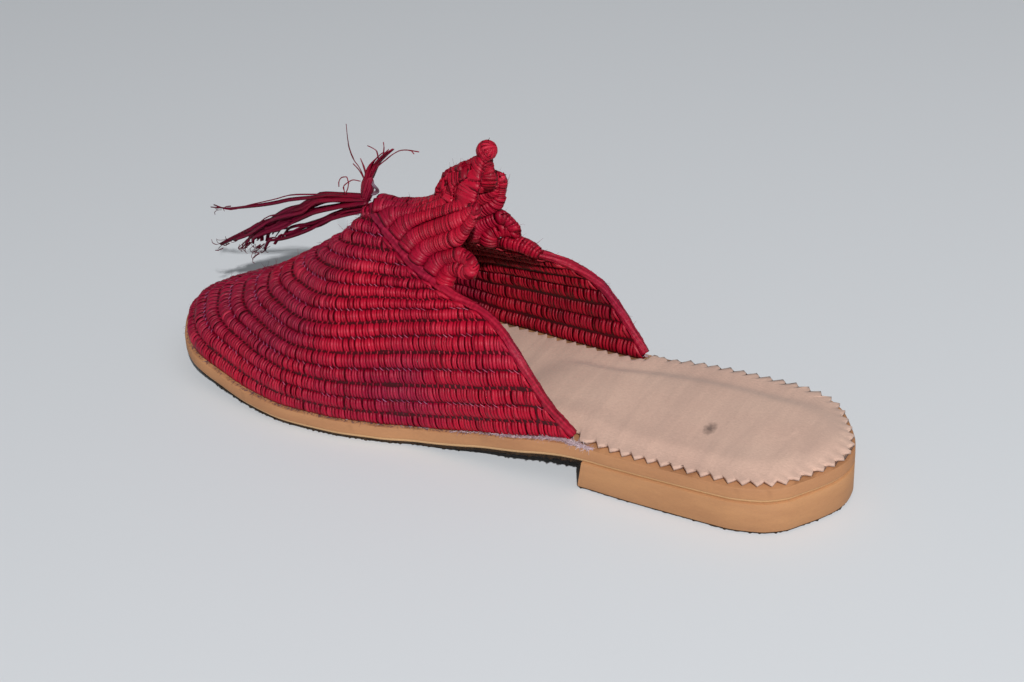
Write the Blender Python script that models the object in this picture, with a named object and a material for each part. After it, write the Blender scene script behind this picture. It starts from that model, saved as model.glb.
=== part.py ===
"""A raffia babouche: a backless slipper of wrapped raffia rows on a leather sole, for the right foot.

Metres, +Z up. The floor is z = 0, the toe points along +Y and the inner side of the foot is -X.
The origin lies on the floor under the heel, HEEL_CENTRE ahead of its back.
Each piece is its own closed solid, and neighbours keep a gap of FIT_GAP.
"""

from bisect import bisect_right
from math import cos, pi, sin, sqrt

import bmesh
import bpy
from mathutils import Vector

# Driving sizes of the last and the sole
LENGTH = 0.259
BALL_WIDTH = 0.0895
HEEL_WIDTH = 0.0648
HEEL_HEIGHT = 0.01235
BREAST_HEIGHT = 0.011
HEEL_LENGTH = 0.083
HEEL_CENTRE = 0.0365
TOE_SPRING = 0.0083
SOLE_THICKNESS = 0.006
TREAD_THICKNESS = 0.0015
SOLE_BEVEL_HEIGHT = 0.0017
SOLE_BEVEL_INSET = 0.0011
BLOCK_BEVEL = 0.0008

# Driving sizes of the upper, its edge and its tongue
INSTEP_HEIGHT = 0.0728
VAMP_LENGTH = 0.0785
COLLAR_REACH = 0.0877
WALL = 0.0026
ROW_RELIEF = 0.0009
ROWS = 16
UPPER_INSET = 0.0014
COLLAR_INSET = 0.0024
COLLAR_INSET_RUN = 0.030
BINDING_WIDTH = 0.0030
SEAM_BAND_WIDTH = 0.0038
BINDING_THICKNESS = 0.0031
TONGUE_REACH = 0.048
TONGUE_RISE = 0.0325
TONGUE_SPREAD = 0.019
TONGUE_ROWS_SPIRE = 3
TONGUE_ROWS_LOBE = 2
SPIRE_KNOB_RADIUS = 0.0034
SEAM_CLEARANCE = 0.0011

# Driving sizes of the insole
INSOLE_THICKNESS = 0.0016
PAD_RISE = 0.0020
PAD_BORDER = 0.0105
PAD_SLOPE = 0.0035
INSOLE_INSET_HEEL = 0.0004
INSOLE_CLEARANCE = 0.0010
PINKING_PITCH = 0.0048
PINKING_DEPTH = 0.0024

# Driving sizes of the tassel
TASSEL_LENGTH = 0.072
TASSEL_DROP = 0.034
TASSEL_TUFT = 0.0235
KNOT_RADIUS = 0.0030
KNOT_HEIGHT = 0.0100
RAFFIA_THICKNESS = 0.0011

FIT_GAP = 0.0003
MERGE = 0.000002
EDGE_STEP = 0.005

# How finely the curved pieces are divided
FINE_STEPS = 360
SOLE_STEPS = 40
ROW_POINTS = 2
FEATHER_STEPS = 40
BINDING_STEPS = 34
BINDING_SIDES = 8
BINDING_SQUARENESS = 0.8


def table(columns, *rows):
    """A small table with named columns, kept as one list for each column."""
    names = columns.split()
    return {name: [row[index] for row in rows] for index, name in enumerate(names)}


# The outline from heel to toe: the middle as a share of the ball width, and the half width as a
# share of the heel width at the back, changing to a share of the ball width at the front.
OUTLINE = table(
    "station centre half_width",
    (0.000, 0.000, 0.000),
    (0.014, 0.000, 0.185),
    (0.033, 0.000, 0.301),
    (0.048, 0.000, 0.383),
    (0.079, 0.000, 0.460),
    (0.122, -0.001, 0.495),
    (0.195, 0.000, 0.500),
    (0.295, -0.006, 0.486),
    (0.396, -0.006, 0.453),
    (0.481, 0.022, 0.424),
    (0.566, 0.045, 0.441),
    (0.620, 0.043, 0.474),
    (0.689, 0.031, 0.500),
    (0.755, 0.014, 0.494),
    (0.820, -0.003, 0.455),
    (0.886, -0.022, 0.385),
    (0.929, -0.042, 0.327),
    (0.963, -0.061, 0.240),
    (0.987, -0.073, 0.128),
    (1.000, -0.089, 0.000),
)
OUTLINE["square"] = [share * share for share in OUTLINE["half_width"]]
WIDTH_CHANGE_START = 0.30
WIDTH_CHANGE_END = 0.55

# Where the sole leaves the heel, touches the floor and lifts towards the toe
WAIST_END = 0.62
TREAD_END = 0.72

# Three meridians of the upper, from its foot on the sole to its peak. Each row gives how far the
# wall has gone inward, forward and up, as shares of the way from the foot to the peak.
COLLAR_EDGE = table(
    "station inward forward rise",
    (0.000, 0.000, 0.000, 0.000),
    (0.076, -0.053, 0.062, 0.133),
    (0.157, -0.085, 0.122, 0.271),
    (0.244, -0.068, 0.184, 0.419),
    (0.316, -0.010, 0.243, 0.520),
    (0.386, 0.088, 0.310, 0.603),
    (0.448, 0.172, 0.379, 0.652),
    (0.513, 0.232, 0.458, 0.678),
    (0.593, 0.288, 0.561, 0.705),
    (0.667, 0.382, 0.651, 0.735),
    (0.738, 0.474, 0.736, 0.782),
    (0.800, 0.568, 0.806, 0.836),
    (0.877, 0.709, 0.887, 0.899),
    (0.949, 0.860, 0.961, 0.958),
    (1.000, 1.000, 1.000, 1.000),
)
SIDE_WALL = table(
    "station inward forward rise",
    (0.000, 0.000, 0.000, 0.000),
    (0.092, -0.024, 0.080, 0.113),
    (0.220, 0.020, 0.200, 0.270),
    (0.367, 0.146, 0.350, 0.435),
    (0.510, 0.317, 0.500, 0.576),
    (0.649, 0.512, 0.645, 0.694),
    (0.782, 0.707, 0.780, 0.804),
    (0.907, 0.878, 0.907, 0.914),
    (1.000, 1.000, 1.000, 1.000),
)
TOE_RIDGE = table(
    "station inward forward rise",
    (0.000, 0.000, 0.000, 0.000),
    (0.039, 0.010, 0.011, 0.065),
    (0.092, 0.055, 0.058, 0.131),
    (0.149, 0.120, 0.122, 0.178),
    (0.246, 0.232, 0.234, 0.247),
    (0.360, 0.364, 0.366, 0.327),
    (0.503, 0.522, 0.524, 0.446),
    (0.639, 0.668, 0.670, 0.577),
    (0.779, 0.813, 0.815, 0.715),
    (0.873, 0.907, 0.908, 0.818),
    (0.941, 0.961, 0.962, 0.909),
    (1.000, 1.000, 1.000, 1.000),
)
MERIDIAN_PLACES = [0.0, 0.25, 0.5, 0.75, 1.0]
MERIDIANS = [COLLAR_EDGE, SIDE_WALL, TOE_RIDGE, SIDE_WALL, COLLAR_EDGE]
SEAM_START = 0.593
BINDING_START = 0.020
WIDENING_START = 0.54

# The tongue's folds behind the seam. Each point is a share of the tongue's spread to one side, of
# its reach back from the peak and of its rise above the peak.
SPIRE_RIDGE = table(
    "out back up",
    (0.00, 0.323, 0.105),
    (0.00, 0.520, 0.245),
    (0.00, 0.625, 0.420),
    (0.00, 0.665, 0.590),
    (0.00, 0.790, 0.720),
    (0.00, 0.880, 0.810),
    (0.00, 1.015, 0.960),
)
SPIRE_EDGE = table(
    "out back up",
    (0.33, 1.060, 0.660),
    (0.17, 1.050, 0.860),
    (0.13, 1.030, 0.950),
)
SLOTS = table(
    "out back up",
    (0.50, 0.925, 0.400),
    (0.77, 0.930, 0.040),
)
LOBE_TIPS = table(
    "out back up",
    (0.520, 1.000, 0.500),
    (0.680, 1.060, 0.360),
    (0.800, 1.020, 0.020),
    (0.970, 1.020, -0.270),
)
LOBE_ROUNDING = 0.0022
SEAM_LEAD = 0.0025
SPIRE_SHARED_STEPS = 4
SPIRE_FREE_STEPS = 8
LOBE_SHARED_STEPS = 3
HIGH_LOBE_STEPS = 3
LOW_LOBE_STEPS = 2

# The tassel's raffia strips. Ends are shares of the tassel's length forward, of its drop and of
# that length sideways, and a strip's width is a share of the knot's radius.
TASSEL_STRIPS = table(
    "forward drop aside width bow",
    (1.00, 0.68, 0.04, 0.42, 0.045),
    (0.97, 0.93, -0.03, 0.90, 0.045),
    (0.90, 0.88, 0.06, 0.90, 0.045),
    (0.84, 0.97, 0.11, 0.80, 0.040),
    (0.80, 0.92, -0.01, 0.95, 0.030),
    (0.93, 1.00, -0.08, 0.75, 0.035),
)
# The short ends above the knot: shares of the tuft's height forward, up and sideways.
TUFT_STRIPS = table(
    "forward up aside width bow",
    (-0.66, 0.66, -0.02, 0.80, 0.10),
    (-0.42, 0.74, 0.06, 0.70, 0.06),
    (0.32, 1.00, 0.00, 0.36, -0.12),
    (0.42, 0.30, -0.04, 0.36, 0.10),
)
STRIP_STEPS = 7
STRIP_SIDES = 6
STRIP_END_SHARE = 0.35
STRIP_STAGGER = 0.4
STRIP_ROOT = 0.3
TUFT_ROOT = 0.2


def curve(rows, column, at):
    """A column read at a station, as a smooth curve that stays between its rows."""
    places = rows["station"]
    values = rows[column]
    last = len(places) - 2
    at = min(max(at, places[0]), places[-1])
    here = min(max(bisect_right(places, at) - 1, 0), last)

    def rate(index):
        return (values[index + 1] - values[index]) / (places[index + 1] - places[index])

    def slope(index):
        if index == 0 or index == last + 1:
            return rate(min(index, last))
        before = rate(index - 1)
        after = rate(index)
        if before * after <= 0:
            return 0.0
        return 2 * before * after / (before + after)

    span = places[here + 1] - places[here]
    part = (at - places[here]) / span
    rest = 1 - part
    start = values[here] * (1 + 2 * part) + span * part * slope(here)
    end = values[here + 1] * (1 + 2 * rest) - span * rest * slope(here + 1)
    return start * rest * rest + end * part * part


def ease(value, low, high):
    """0 below low, 1 above high, and a smooth step between them."""
    part = min(max((value - low) / (high - low), 0.0), 1.0)
    return part * part * (3 - 2 * part)


def mix(first, second, share):
    return first + (second - first) * share


def smooth_line(points, steps):
    """Equal steps along a smooth curve through a few points, both ends included."""
    lengths = [0.0]
    for before, after in zip(points, points[1:]):
        lengths.append(lengths[-1] + (after - before).length)
    rows = {"station": lengths}
    for axis in range(3):
        rows[axis] = [point[axis] for point in points]
    places = [lengths[-1] * step / steps for step in range(steps + 1)]
    return [Vector([curve(rows, axis, place) for axis in range(3)]) for place in places]


def world_y(station):
    return station * LENGTH - HEEL_CENTRE


def station_of(y):
    return (y + HEEL_CENTRE) / LENGTH


def half_width(station):
    width = mix(HEEL_WIDTH, BALL_WIDTH, ease(station, WIDTH_CHANGE_START, WIDTH_CHANGE_END))
    return width * sqrt(max(curve(OUTLINE, "square", station), 0.0))


def outline_side(side):
    """One side of the outsole from heel to toe, divided finely; side is -1 for the inner side."""
    points = []
    for step in range(FINE_STEPS + 1):
        station = (1 - cos(pi * step / FINE_STEPS)) / 2
        middle = BALL_WIDTH * curve(OUTLINE, "centre", station)
        points.append(Vector((middle + side * half_width(station), world_y(station))))
    return points


OUTLINE_SIDES = {-1: outline_side(-1), 1: outline_side(1)}


def inset_side(side, inset):
    """A side of the outline moved inward by inset(y), square to the outline."""
    own = OUTLINE_SIDES[side]
    other = OUTLINE_SIDES[-side]
    moved = []
    for index, point in enumerate(own):
        before = own[index - 1] if index else other[1]
        after = own[index + 1] if index < FINE_STEPS else other[FINE_STEPS - 1]
        along = (after - before).normalized()
        inward = Vector((along.y, -along.x)) * -side
        moved.append(point + inward * inset(point.y))
    return moved


def equal_steps(points, steps):
    """The same line read at equal lengths."""
    lengths = [0.0]
    for before, after in zip(points, points[1:]):
        lengths.append(lengths[-1] + (after - before).length)
    chosen = []
    for step in range(steps + 1):
        goal = lengths[-1] * step / steps
        here = min(max(bisect_right(lengths, goal) - 1, 0), len(points) - 2)
        span = lengths[here + 1] - lengths[here]
        part = (goal - lengths[here]) / span if span else 0.0
        chosen.append(points[here].lerp(points[here + 1], part))
    return chosen


def plan(inset, steps, back=None, front=None):
    """Both sides of the outline, from back to front, at equal steps; back and front are y places."""
    sides = []
    for side in (-1, 1):
        points = inset_side(side, inset)
        if back is not None:
            points = cut_line(points, back)
        if front is not None:
            points = cut_line(points[::-1], -front, -1)[::-1]
        sides.append(equal_steps(points, steps))
    return sides


def cut_line(points, limit, sense=1):
    """The part of a line whose sense * y is above the limit, with a point on the limit."""
    for index in range(len(points) - 1):
        here = sense * points[index].y
        following = sense * points[index + 1].y
        if here <= limit < following:
            corner = points[index].lerp(points[index + 1], (limit - here) / (following - here))
            return [corner] + points[index + 1:]
    return points


def fixed(inset):
    return lambda y: inset


def sole_under(y):
    """Height of the outsole's underside."""
    station = station_of(y)
    breast = HEEL_LENGTH / LENGTH
    if station < breast:
        return mix(HEEL_HEIGHT, BREAST_HEIGHT, max(station, 0.0) / breast)
    toe = max(station - TREAD_END, 0.0) / (1 - TREAD_END)
    waist = mix(BREAST_HEIGHT, TREAD_THICKNESS, ease(station, breast, WAIST_END))
    return waist + TOE_SPRING * toe * toe


def sole_top(y):
    return sole_under(y) + SOLE_THICKNESS


def raised(sides, height):
    """Two flat lines lifted to height(y)."""
    return [[Vector((point.x, point.y, height(point.y))) for point in side] for side in sides]


def finish(mesh, name, look, smooth_angle=None):
    """Turn a closed bmesh into a named object in one of the looks."""
    bmesh.ops.recalc_face_normals(mesh, faces=mesh.faces)
    data = bpy.data.meshes.new(name)
    mesh.to_mesh(data)
    mesh.free()
    if smooth_angle is not None:
        data.shade_smooth()
        data.set_sharp_from_angle(angle=smooth_angle)
    piece = bpy.data.objects.new(name, data)
    bpy.context.collection.objects.link(piece)
    data.materials.append(surface(look))
    return piece


def surface(look):
    """The material of a look, made on its first use."""
    material = bpy.data.materials.get(look)
    if material is None:
        red, green, blue, roughness = LOOKS[look]
        material = bpy.data.materials.new(look)
        material.use_nodes = True
        shader = material.node_tree.nodes["Principled BSDF"]
        shader.inputs["Base Color"].default_value = (red, green, blue, 1.0)
        shader.inputs["Roughness"].default_value = roughness
        shader.inputs["Metallic"].default_value = 0.0
    return material


# Each look is its linear red, green and blue, then its roughness
LOOKS = {
    "raffia": (0.235, 0.008, 0.022, 0.72),
    "raffia_edge": (0.180, 0.008, 0.018, 0.75),
    "sole_leather": (0.450, 0.230, 0.107, 0.60),
    "heel_leather": (0.520, 0.270, 0.133, 0.60),
    "tread_rubber": (0.030, 0.022, 0.018, 0.85),
    "insole_suede": (0.530, 0.380, 0.310, 0.80),
}
SMOOTH_ANGLE = 0.7


def slab(levels):
    """A closed body from rings of paired points, from bottom to top, with laddered ends."""
    mesh = bmesh.new()
    rings = [ring_of(mesh, sides) for sides in levels]
    for lower, upper in zip(rings, rings[1:]):
        band_between(mesh, lower, upper)
    close_ladder(mesh, rings[0])
    close_ladder(mesh, rings[-1])
    bmesh.ops.remove_doubles(mesh, verts=mesh.verts, dist=MERGE)
    return mesh


def build_outsole():
    rim = plan(fixed(0.0), SOLE_STEPS)
    lower = plan(fixed(SOLE_BEVEL_INSET), SOLE_STEPS)
    levels = [
        raised(lower, sole_under),
        raised(rim, lambda y: sole_under(y) + SOLE_BEVEL_HEIGHT),
        raised(rim, sole_top),
    ]
    finish(slab(levels), "outsole", "sole_leather")


def build_tread():
    """The thin rubber under the waist and the forefoot, from the heel's breast to the toe."""
    back = world_y(HEEL_LENGTH / LENGTH) + FIT_GAP
    line = plan(fixed(SOLE_BEVEL_INSET), SOLE_STEPS, back=back)
    levels = [
        raised(line, lambda y: sole_under(y) - TREAD_THICKNESS),
        raised(line, lambda y: sole_under(y) - FIT_GAP),
    ]
    finish(slab(levels), "tread", "tread_rubber")


def build_heel():
    """The stacked heel block and its own tread, cut square at the breast."""
    front = world_y(HEEL_LENGTH / LENGTH)
    rim = plan(fixed(0.0), SOLE_STEPS // 2, front=front)
    lower = plan(fixed(BLOCK_BEVEL), SOLE_STEPS // 2, front=front)
    block_foot = TREAD_THICKNESS + FIT_GAP
    levels = [
        raised(lower, lambda y: block_foot),
        raised(rim, lambda y: block_foot + BLOCK_BEVEL),
        raised(rim, lambda y: sole_under(y) - FIT_GAP),
    ]
    finish(slab(levels), "heel_block", "heel_leather")
    levels = [raised(lower, lambda y: 0.0), raised(lower, lambda y: TREAD_THICKNESS)]
    finish(slab(levels), "heel_tread", "tread_rubber")


def upper_inset(y):
    """How far the wall's outer face stands inside the sole's rim: a little more at the collar."""
    collar = COLLAR_REACH - HEEL_CENTRE
    return mix(COLLAR_INSET, UPPER_INSET, ease(y, collar, collar + COLLAR_INSET_RUN))


def insole_inset(y):
    """The insole reaches the sole's rim behind the collar, and fits inside the wall ahead of it."""
    collar = COLLAR_REACH - HEEL_CENTRE
    inside = upper_inset(y) + WALL + INSOLE_CLEARANCE
    narrowing = ease(y, collar - 3 * PINKING_PITCH, collar - PINKING_PITCH)
    return mix(INSOLE_INSET_HEEL, inside, narrowing)


def build_insole():
    """A padded insole whose rim is cut in a zigzag, and whose pad stands above a flat border."""
    rim_length = sum((b - a).length for a, b in zip(OUTLINE_SIDES[-1], OUTLINE_SIDES[-1][1:]))
    teeth = round(rim_length / PINKING_PITCH)
    tips = plan(insole_inset, 2 * teeth)
    valleys = plan(lambda y: insole_inset(y) + PINKING_DEPTH, 2 * teeth)
    border = plan(lambda y: insole_inset(y) + PAD_BORDER, teeth)
    crown = plan(lambda y: insole_inset(y) + PAD_BORDER + PAD_SLOPE, teeth)

    def bottom(y):
        return sole_top(y) + FIT_GAP

    def top(y):
        return bottom(y) + INSOLE_THICKNESS

    def pad_top(y):
        return top(y) + PAD_RISE

    rim = []
    for outer, inner in zip(tips, valleys):
        rim.append([inner[i] if i % 2 else outer[i] for i in range(2 * teeth + 1)])
    mesh = bmesh.new()
    low = ring_of(mesh, raised(rim, bottom))
    high = ring_of(mesh, raised(rim, top))
    inner = ring_of(mesh, raised(border, top))
    crest = ring_of(mesh, raised(crown, pad_top))
    band_between(mesh, low, high)
    band_between(mesh, inner, crest)
    close_ladder(mesh, crest)
    close_ladder(mesh, low)
    half = 2 * teeth + 1
    for start, inner_start, count in ((0, 0, teeth), (half, teeth + 1, teeth)):
        for tooth in range(count):
            first = high[start + 2 * tooth]
            middle = high[start + 2 * tooth + 1]
            second = high[start + 2 * tooth + 2]
            near = inner[inner_start + tooth]
            far = inner[inner_start + tooth + 1]
            mesh.faces.new((first, middle, near))
            mesh.faces.new((middle, far, near))
            mesh.faces.new((middle, second, far))
    mesh.faces.new((high[half - 1], high[half], inner[teeth + 1], inner[teeth]))
    mesh.faces.new((high[-1], high[0], inner[0], inner[-1]))
    bmesh.ops.remove_doubles(mesh, verts=mesh.verts, dist=MERGE)
    finish(mesh, "insole", "insole_suede")


def ring_of(mesh, sides):
    left, right = sides
    return [mesh.verts.new(point) for point in left + right[::-1]]


def band_between(mesh, lower, upper):
    total = len(lower)
    for index in range(total):
        following = (index + 1) % total
        mesh.faces.new((lower[index], lower[following], upper[following], upper[index]))


def close_ladder(mesh, ring):
    total = len(ring)
    for index in range(total // 2 - 1):
        opposite = total - 1 - index
        mesh.faces.new((ring[index], ring[index + 1], ring[opposite - 1], ring[opposite]))


def feather_line(steps):
    """Where the middle of the wall stands on the sole, from the inner collar end round the toe."""
    back = COLLAR_REACH - HEEL_CENTRE
    sides = []
    for side in (-1, 1):
        sides.append(cut_line(inset_side(side, lambda y: upper_inset(y) + WALL / 2), back))
    return equal_steps(sides[0] + sides[1][::-1][1:], steps)


FEATHER = feather_line(8 * FEATHER_STEPS)


def peak():
    """The middle of the wall at the vamp's highest point."""
    return Vector((0.0, LENGTH - VAMP_LENGTH - HEEL_CENTRE, INSTEP_HEIGHT - WALL / 2))


def foot_at(around):
    """The wall's foot at a share of the way round, 0 and 1 at the two collar ends."""
    place = min(max(around, 0.0), 1.0) * (len(FEATHER) - 1)
    here = min(int(place), len(FEATHER) - 2)
    point = FEATHER[here].lerp(FEATHER[here + 1], place - here)
    return Vector((point.x, point.y, sole_top(point.y) + FIT_GAP))


def wall_point(around, up):
    """The middle of the upper's wall, at a share of the way round and of the rows up to the peak."""
    foot = foot_at(around)
    top = peak()
    shares = {}
    for column in ("inward", "forward", "rise"):
        values = [curve(meridian, column, up) for meridian in MERIDIANS]
        shares[column] = curve({"station": MERIDIAN_PLACES, "share": values}, "share", around)
    return Vector((
        mix(foot.x, top.x, shares["inward"]),
        mix(foot.y, top.y, shares["forward"]),
        mix(foot.z, top.z, shares["rise"]),
    ))


def half_wall(row):
    """Half the wall's thickness: full on a row, less by the relief in the valley between rows."""
    return (WALL - ROW_RELIEF * abs(cos(pi * row))) / 2


def shell(grids, name, foot_height=None):
    """A wall around grids of (point, half thickness), which join where they share points."""
    sheet = bmesh.new()
    half = sheet.verts.layers.float.new("half")
    feet = sheet.verts.layers.int.new("feet")
    for grid in grids:
        rows = []
        for line_number, line in enumerate(grid):
            row = []
            for point, thickness in line:
                vertex = sheet.verts.new(point)
                vertex[half] = thickness
                vertex[feet] = 1 if foot_height and line_number == 0 else 0
                row.append(vertex)
            rows.append(row)
        for lower, upper in zip(rows, rows[1:]):
            for index in range(len(lower) - 1):
                sheet.faces.new((lower[index], lower[index + 1], upper[index + 1], upper[index]))
    bmesh.ops.remove_doubles(sheet, verts=sheet.verts, dist=MERGE)
    bmesh.ops.recalc_face_normals(sheet, faces=sheet.faces)
    sheet.normal_update()

    mesh = bmesh.new()
    outer = {}
    inner = {}
    for vertex in sheet.verts:
        normal = vertex.normal.copy()
        if vertex[feet]:
            normal.z = 0.0
            normal.normalize()
        for layer, sense in ((outer, 1), (inner, -1)):
            point = vertex.co + normal * (sense * vertex[half])
            if vertex[feet]:
                point.z = foot_height(point.y)
            layer[vertex] = mesh.verts.new(point)
    for face in sheet.faces:
        mesh.faces.new([outer[vertex] for vertex in face.verts])
        mesh.faces.new([inner[vertex] for vertex in reversed(face.verts)])
    for edge in sheet.edges:
        if len(edge.link_faces) == 1:
            first, second = edge.verts
            mesh.faces.new((outer[first], outer[second], inner[second], inner[first]))
    sheet.free()
    return finish(mesh, name, "raffia", SMOOTH_ANGLE)


def build_upper():
    """The vamp: raffia rows that follow the sole's rim and close in towards the peak."""
    grid = []
    for step in range(ROWS * ROW_POINTS + 1):
        row = step / ROW_POINTS
        line = []
        for place in range(FEATHER_STEPS + 1):
            line.append((wall_point(place / FEATHER_STEPS, row / ROWS), half_wall(row)))
        grid.append(line)
    shell([grid], "upper", lambda y: sole_top(y) + FIT_GAP)


def edge_frame(up, side):
    """A free edge of the wall: its point, and the ways along it, out of the wall and away from it."""
    around = 0.0 if side < 0 else 1.0
    point = wall_point(around, up)
    after = wall_point(around, min(up + EDGE_STEP, 1.0))
    before = wall_point(around, max(up - EDGE_STEP, 0.0))
    along = (after - before).normalized()
    inside = wall_point(around - side * EDGE_STEP, up) - point
    away = -(inside - along * inside.dot(along)).normalized()
    out = along.cross(away)
    if out.x * side < 0:
        out.negate()
    return point, along, out, away


def beside_edge(up, distance, side):
    point, along, out, away = edge_frame(up, side)
    return point + away * distance


def crossing(distance, clear, side):
    """How far up the edge a line beside it comes within clear of the middle."""
    low = SEAM_START
    high = 1 - EDGE_STEP
    for attempt in range(30):
        middle = (low + high) / 2
        if beside_edge(middle, distance, side).x * side > clear:
            low = middle
        else:
            high = middle
    return low


def band_width(up):
    return mix(BINDING_WIDTH, SEAM_BAND_WIDTH, ease(up, WIDENING_START, SEAM_START))


def build_bindings():
    """The cord that binds each collar edge, runs on over the seam and ends in a mitre at the peak."""
    for side, name in ((-1, "binding_inner_side"), (1, "binding_outer_side")):
        end = crossing(SEAM_BAND_WIDTH + FIT_GAP, FIT_GAP, side)
        mesh = bmesh.new()
        rings = []
        for step in range(BINDING_STEPS + 1):
            up = mix(BINDING_START, end, step / BINDING_STEPS)
            point, along, out, away = edge_frame(up, side)
            width = band_width(up)
            middle = point + away * (FIT_GAP + width / 2)
            ring = []
            for corner in range(BINDING_SIDES):
                turn = 2 * pi * (corner + 0.5) / BINDING_SIDES
                across = squared(cos(turn)) * width / 2
                thick = squared(sin(turn)) * BINDING_THICKNESS / 2
                corner_point = middle + away * across + out * thick
                if corner_point.x * side < FIT_GAP / 2:
                    corner_point.x = side * FIT_GAP / 2
                ring.append(mesh.verts.new(corner_point))
            rings.append(ring)
        for lower, upper in zip(rings, rings[1:]):
            band_between(mesh, lower, upper)
        mesh.faces.new(rings[0])
        mesh.faces.new(rings[-1])
        finish(mesh, name, "raffia_edge", SMOOTH_ANGLE)


def squared(value):
    """A cosine or sine pushed outward, so that a round section turns into a rounded strip."""
    return (abs(value) ** BINDING_SQUARENESS) * (1 if value > 0 else -1)


def fold_points(rows, side):
    """The rows of a fold table as places behind the peak, on one side."""
    top = peak()
    points = []
    for out, back, up in zip(rows["out"], rows["back"], rows["up"]):
        points.append(Vector((
            side * out * TONGUE_SPREAD,
            top.y - back * TONGUE_REACH,
            top.z + up * TONGUE_RISE,
        )))
    return points


def seam_base(row, side, lead=0.0):
    """Where a row of the tongue leaves the seam band; rows count from the peak to the collar."""
    distance = SEAM_BAND_WIDTH + FIT_GAP + SEAM_CLEARANCE
    top = crossing(distance, 0.0, side)
    share = row / (TONGUE_ROWS_SPIRE + 2 * TONGUE_ROWS_LOBE)
    return beside_edge(mix(top, SEAM_START, share), distance + lead, side)


def fold_line(row, side, points, steps):
    """A fold from the seam band through a few points, leaving the band square to it."""
    start = [seam_base(row, side), seam_base(row, side, SEAM_LEAD)]
    return smooth_line(start + points, steps)


def tongue_folds(side):
    """The lines between the tongue's folds on one side, each as a list of points."""
    slots = fold_points(SLOTS, side)
    tips = fold_points(LOBE_TIPS, side)
    upper_slot = fold_line(TONGUE_ROWS_SPIRE, side, [slots[0]], SPIRE_SHARED_STEPS)
    lower_slot = fold_line(TONGUE_ROWS_SPIRE + TONGUE_ROWS_LOBE, side, [slots[1]], LOBE_SHARED_STEPS)
    high_steps = SPIRE_SHARED_STEPS + HIGH_LOBE_STEPS
    spire_free = smooth_line([slots[0]] + fold_points(SPIRE_EDGE, side), SPIRE_FREE_STEPS)
    return {
        "spire_edge": upper_slot + spire_free[1:],
        "high_inner": upper_slot + smooth_line([slots[0], tips[0]], HIGH_LOBE_STEPS)[1:],
        "high_outer": lower_slot + smooth_line([slots[1], tips[1]], high_steps - LOBE_SHARED_STEPS)[1:],
        "low_inner": lower_slot + smooth_line([slots[1], tips[2]], LOW_LOBE_STEPS)[1:],
        "low_outer": fold_line(
            TONGUE_ROWS_SPIRE + 2 * TONGUE_ROWS_LOBE, side, [tips[3]], LOBE_SHARED_STEPS + LOW_LOBE_STEPS
        ),
    }


def seated(points, first_row, side, step):
    """Shift a line of points towards the seam band near the seam, where it has to follow it."""
    fade = max(0.0, 1 - step / LOBE_SHARED_STEPS) ** 2
    return [
        point + (seam_base(first_row + column / ROW_POINTS, side) - base) * fade
        for column, (point, base) in enumerate(points)
    ]


def build_tongue():
    """The stiff tongue behind the seam: a spire in the middle and two lobes on each side."""
    apex = (seam_base(0, -1) + seam_base(0, 1)) / 2
    ridge_steps = SPIRE_SHARED_STEPS + SPIRE_FREE_STEPS
    ridge = smooth_line([apex] + fold_points(SPIRE_RIDGE, 1), ridge_steps)
    grids = []
    for side in (-1, 1):
        folds = tongue_folds(side)
        columns = TONGUE_ROWS_SPIRE * ROW_POINTS
        grids.append(tongue_panel(ridge, folds["spire_edge"], 0, columns, side, True))
        columns = TONGUE_ROWS_LOBE * ROW_POINTS
        first = TONGUE_ROWS_SPIRE
        grids.append(tongue_panel(folds["high_inner"], folds["high_outer"], first, columns, side))
        first += TONGUE_ROWS_LOBE
        grids.append(tongue_panel(folds["low_inner"], folds["low_outer"], first, columns, side))
    tongue = shell(grids, "tongue")
    knob = bmesh.new()
    bmesh.ops.create_icosphere(knob, subdivisions=2, radius=SPIRE_KNOB_RADIUS)
    for vertex in knob.verts:
        vertex.co += ridge[-1]
    fuse(tongue, finish(knob, "knob", "raffia", SMOOTH_ANGLE))


def tongue_panel(inner, outer, first_row, columns, side, arched=False):
    """The rows between two fold lines; the spire's are arched, a lobe's end is rounded."""
    lines = []
    last = len(inner) - 1
    for step in range(last + 1):
        before = max(step - 1, 0)
        reach = (inner[step] - inner[before]) + (outer[step] - outer[before])
        points = []
        for column in range(columns + 1):
            share = column / columns
            place = inner[step].lerp(outer[step], share)
            base = inner[0].lerp(outer[0], share)
            if arched:
                arch = share - share * share
                place -= (outer[step] - inner[step]) * arch
                place.x = mix(inner[step].x, outer[step].x, share)
                base -= (outer[0] - inner[0]) * arch
                base.x = mix(inner[0].x, outer[0].x, share)
            elif step:
                bulge = 4 * share * (1 - share) * LOBE_ROUNDING * (step / last) ** 2
                place += reach.normalized() * bulge
            points.append((place, base))
        line = seated(points, first_row, side, step)
        lines.append([(point, half_wall(column / ROW_POINTS)) for column, point in enumerate(line)])
    return lines


def knot_centre():
    return peak() + Vector((0.0, 0.0, half_wall(ROWS) + FIT_GAP + KNOT_HEIGHT / 2))


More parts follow.
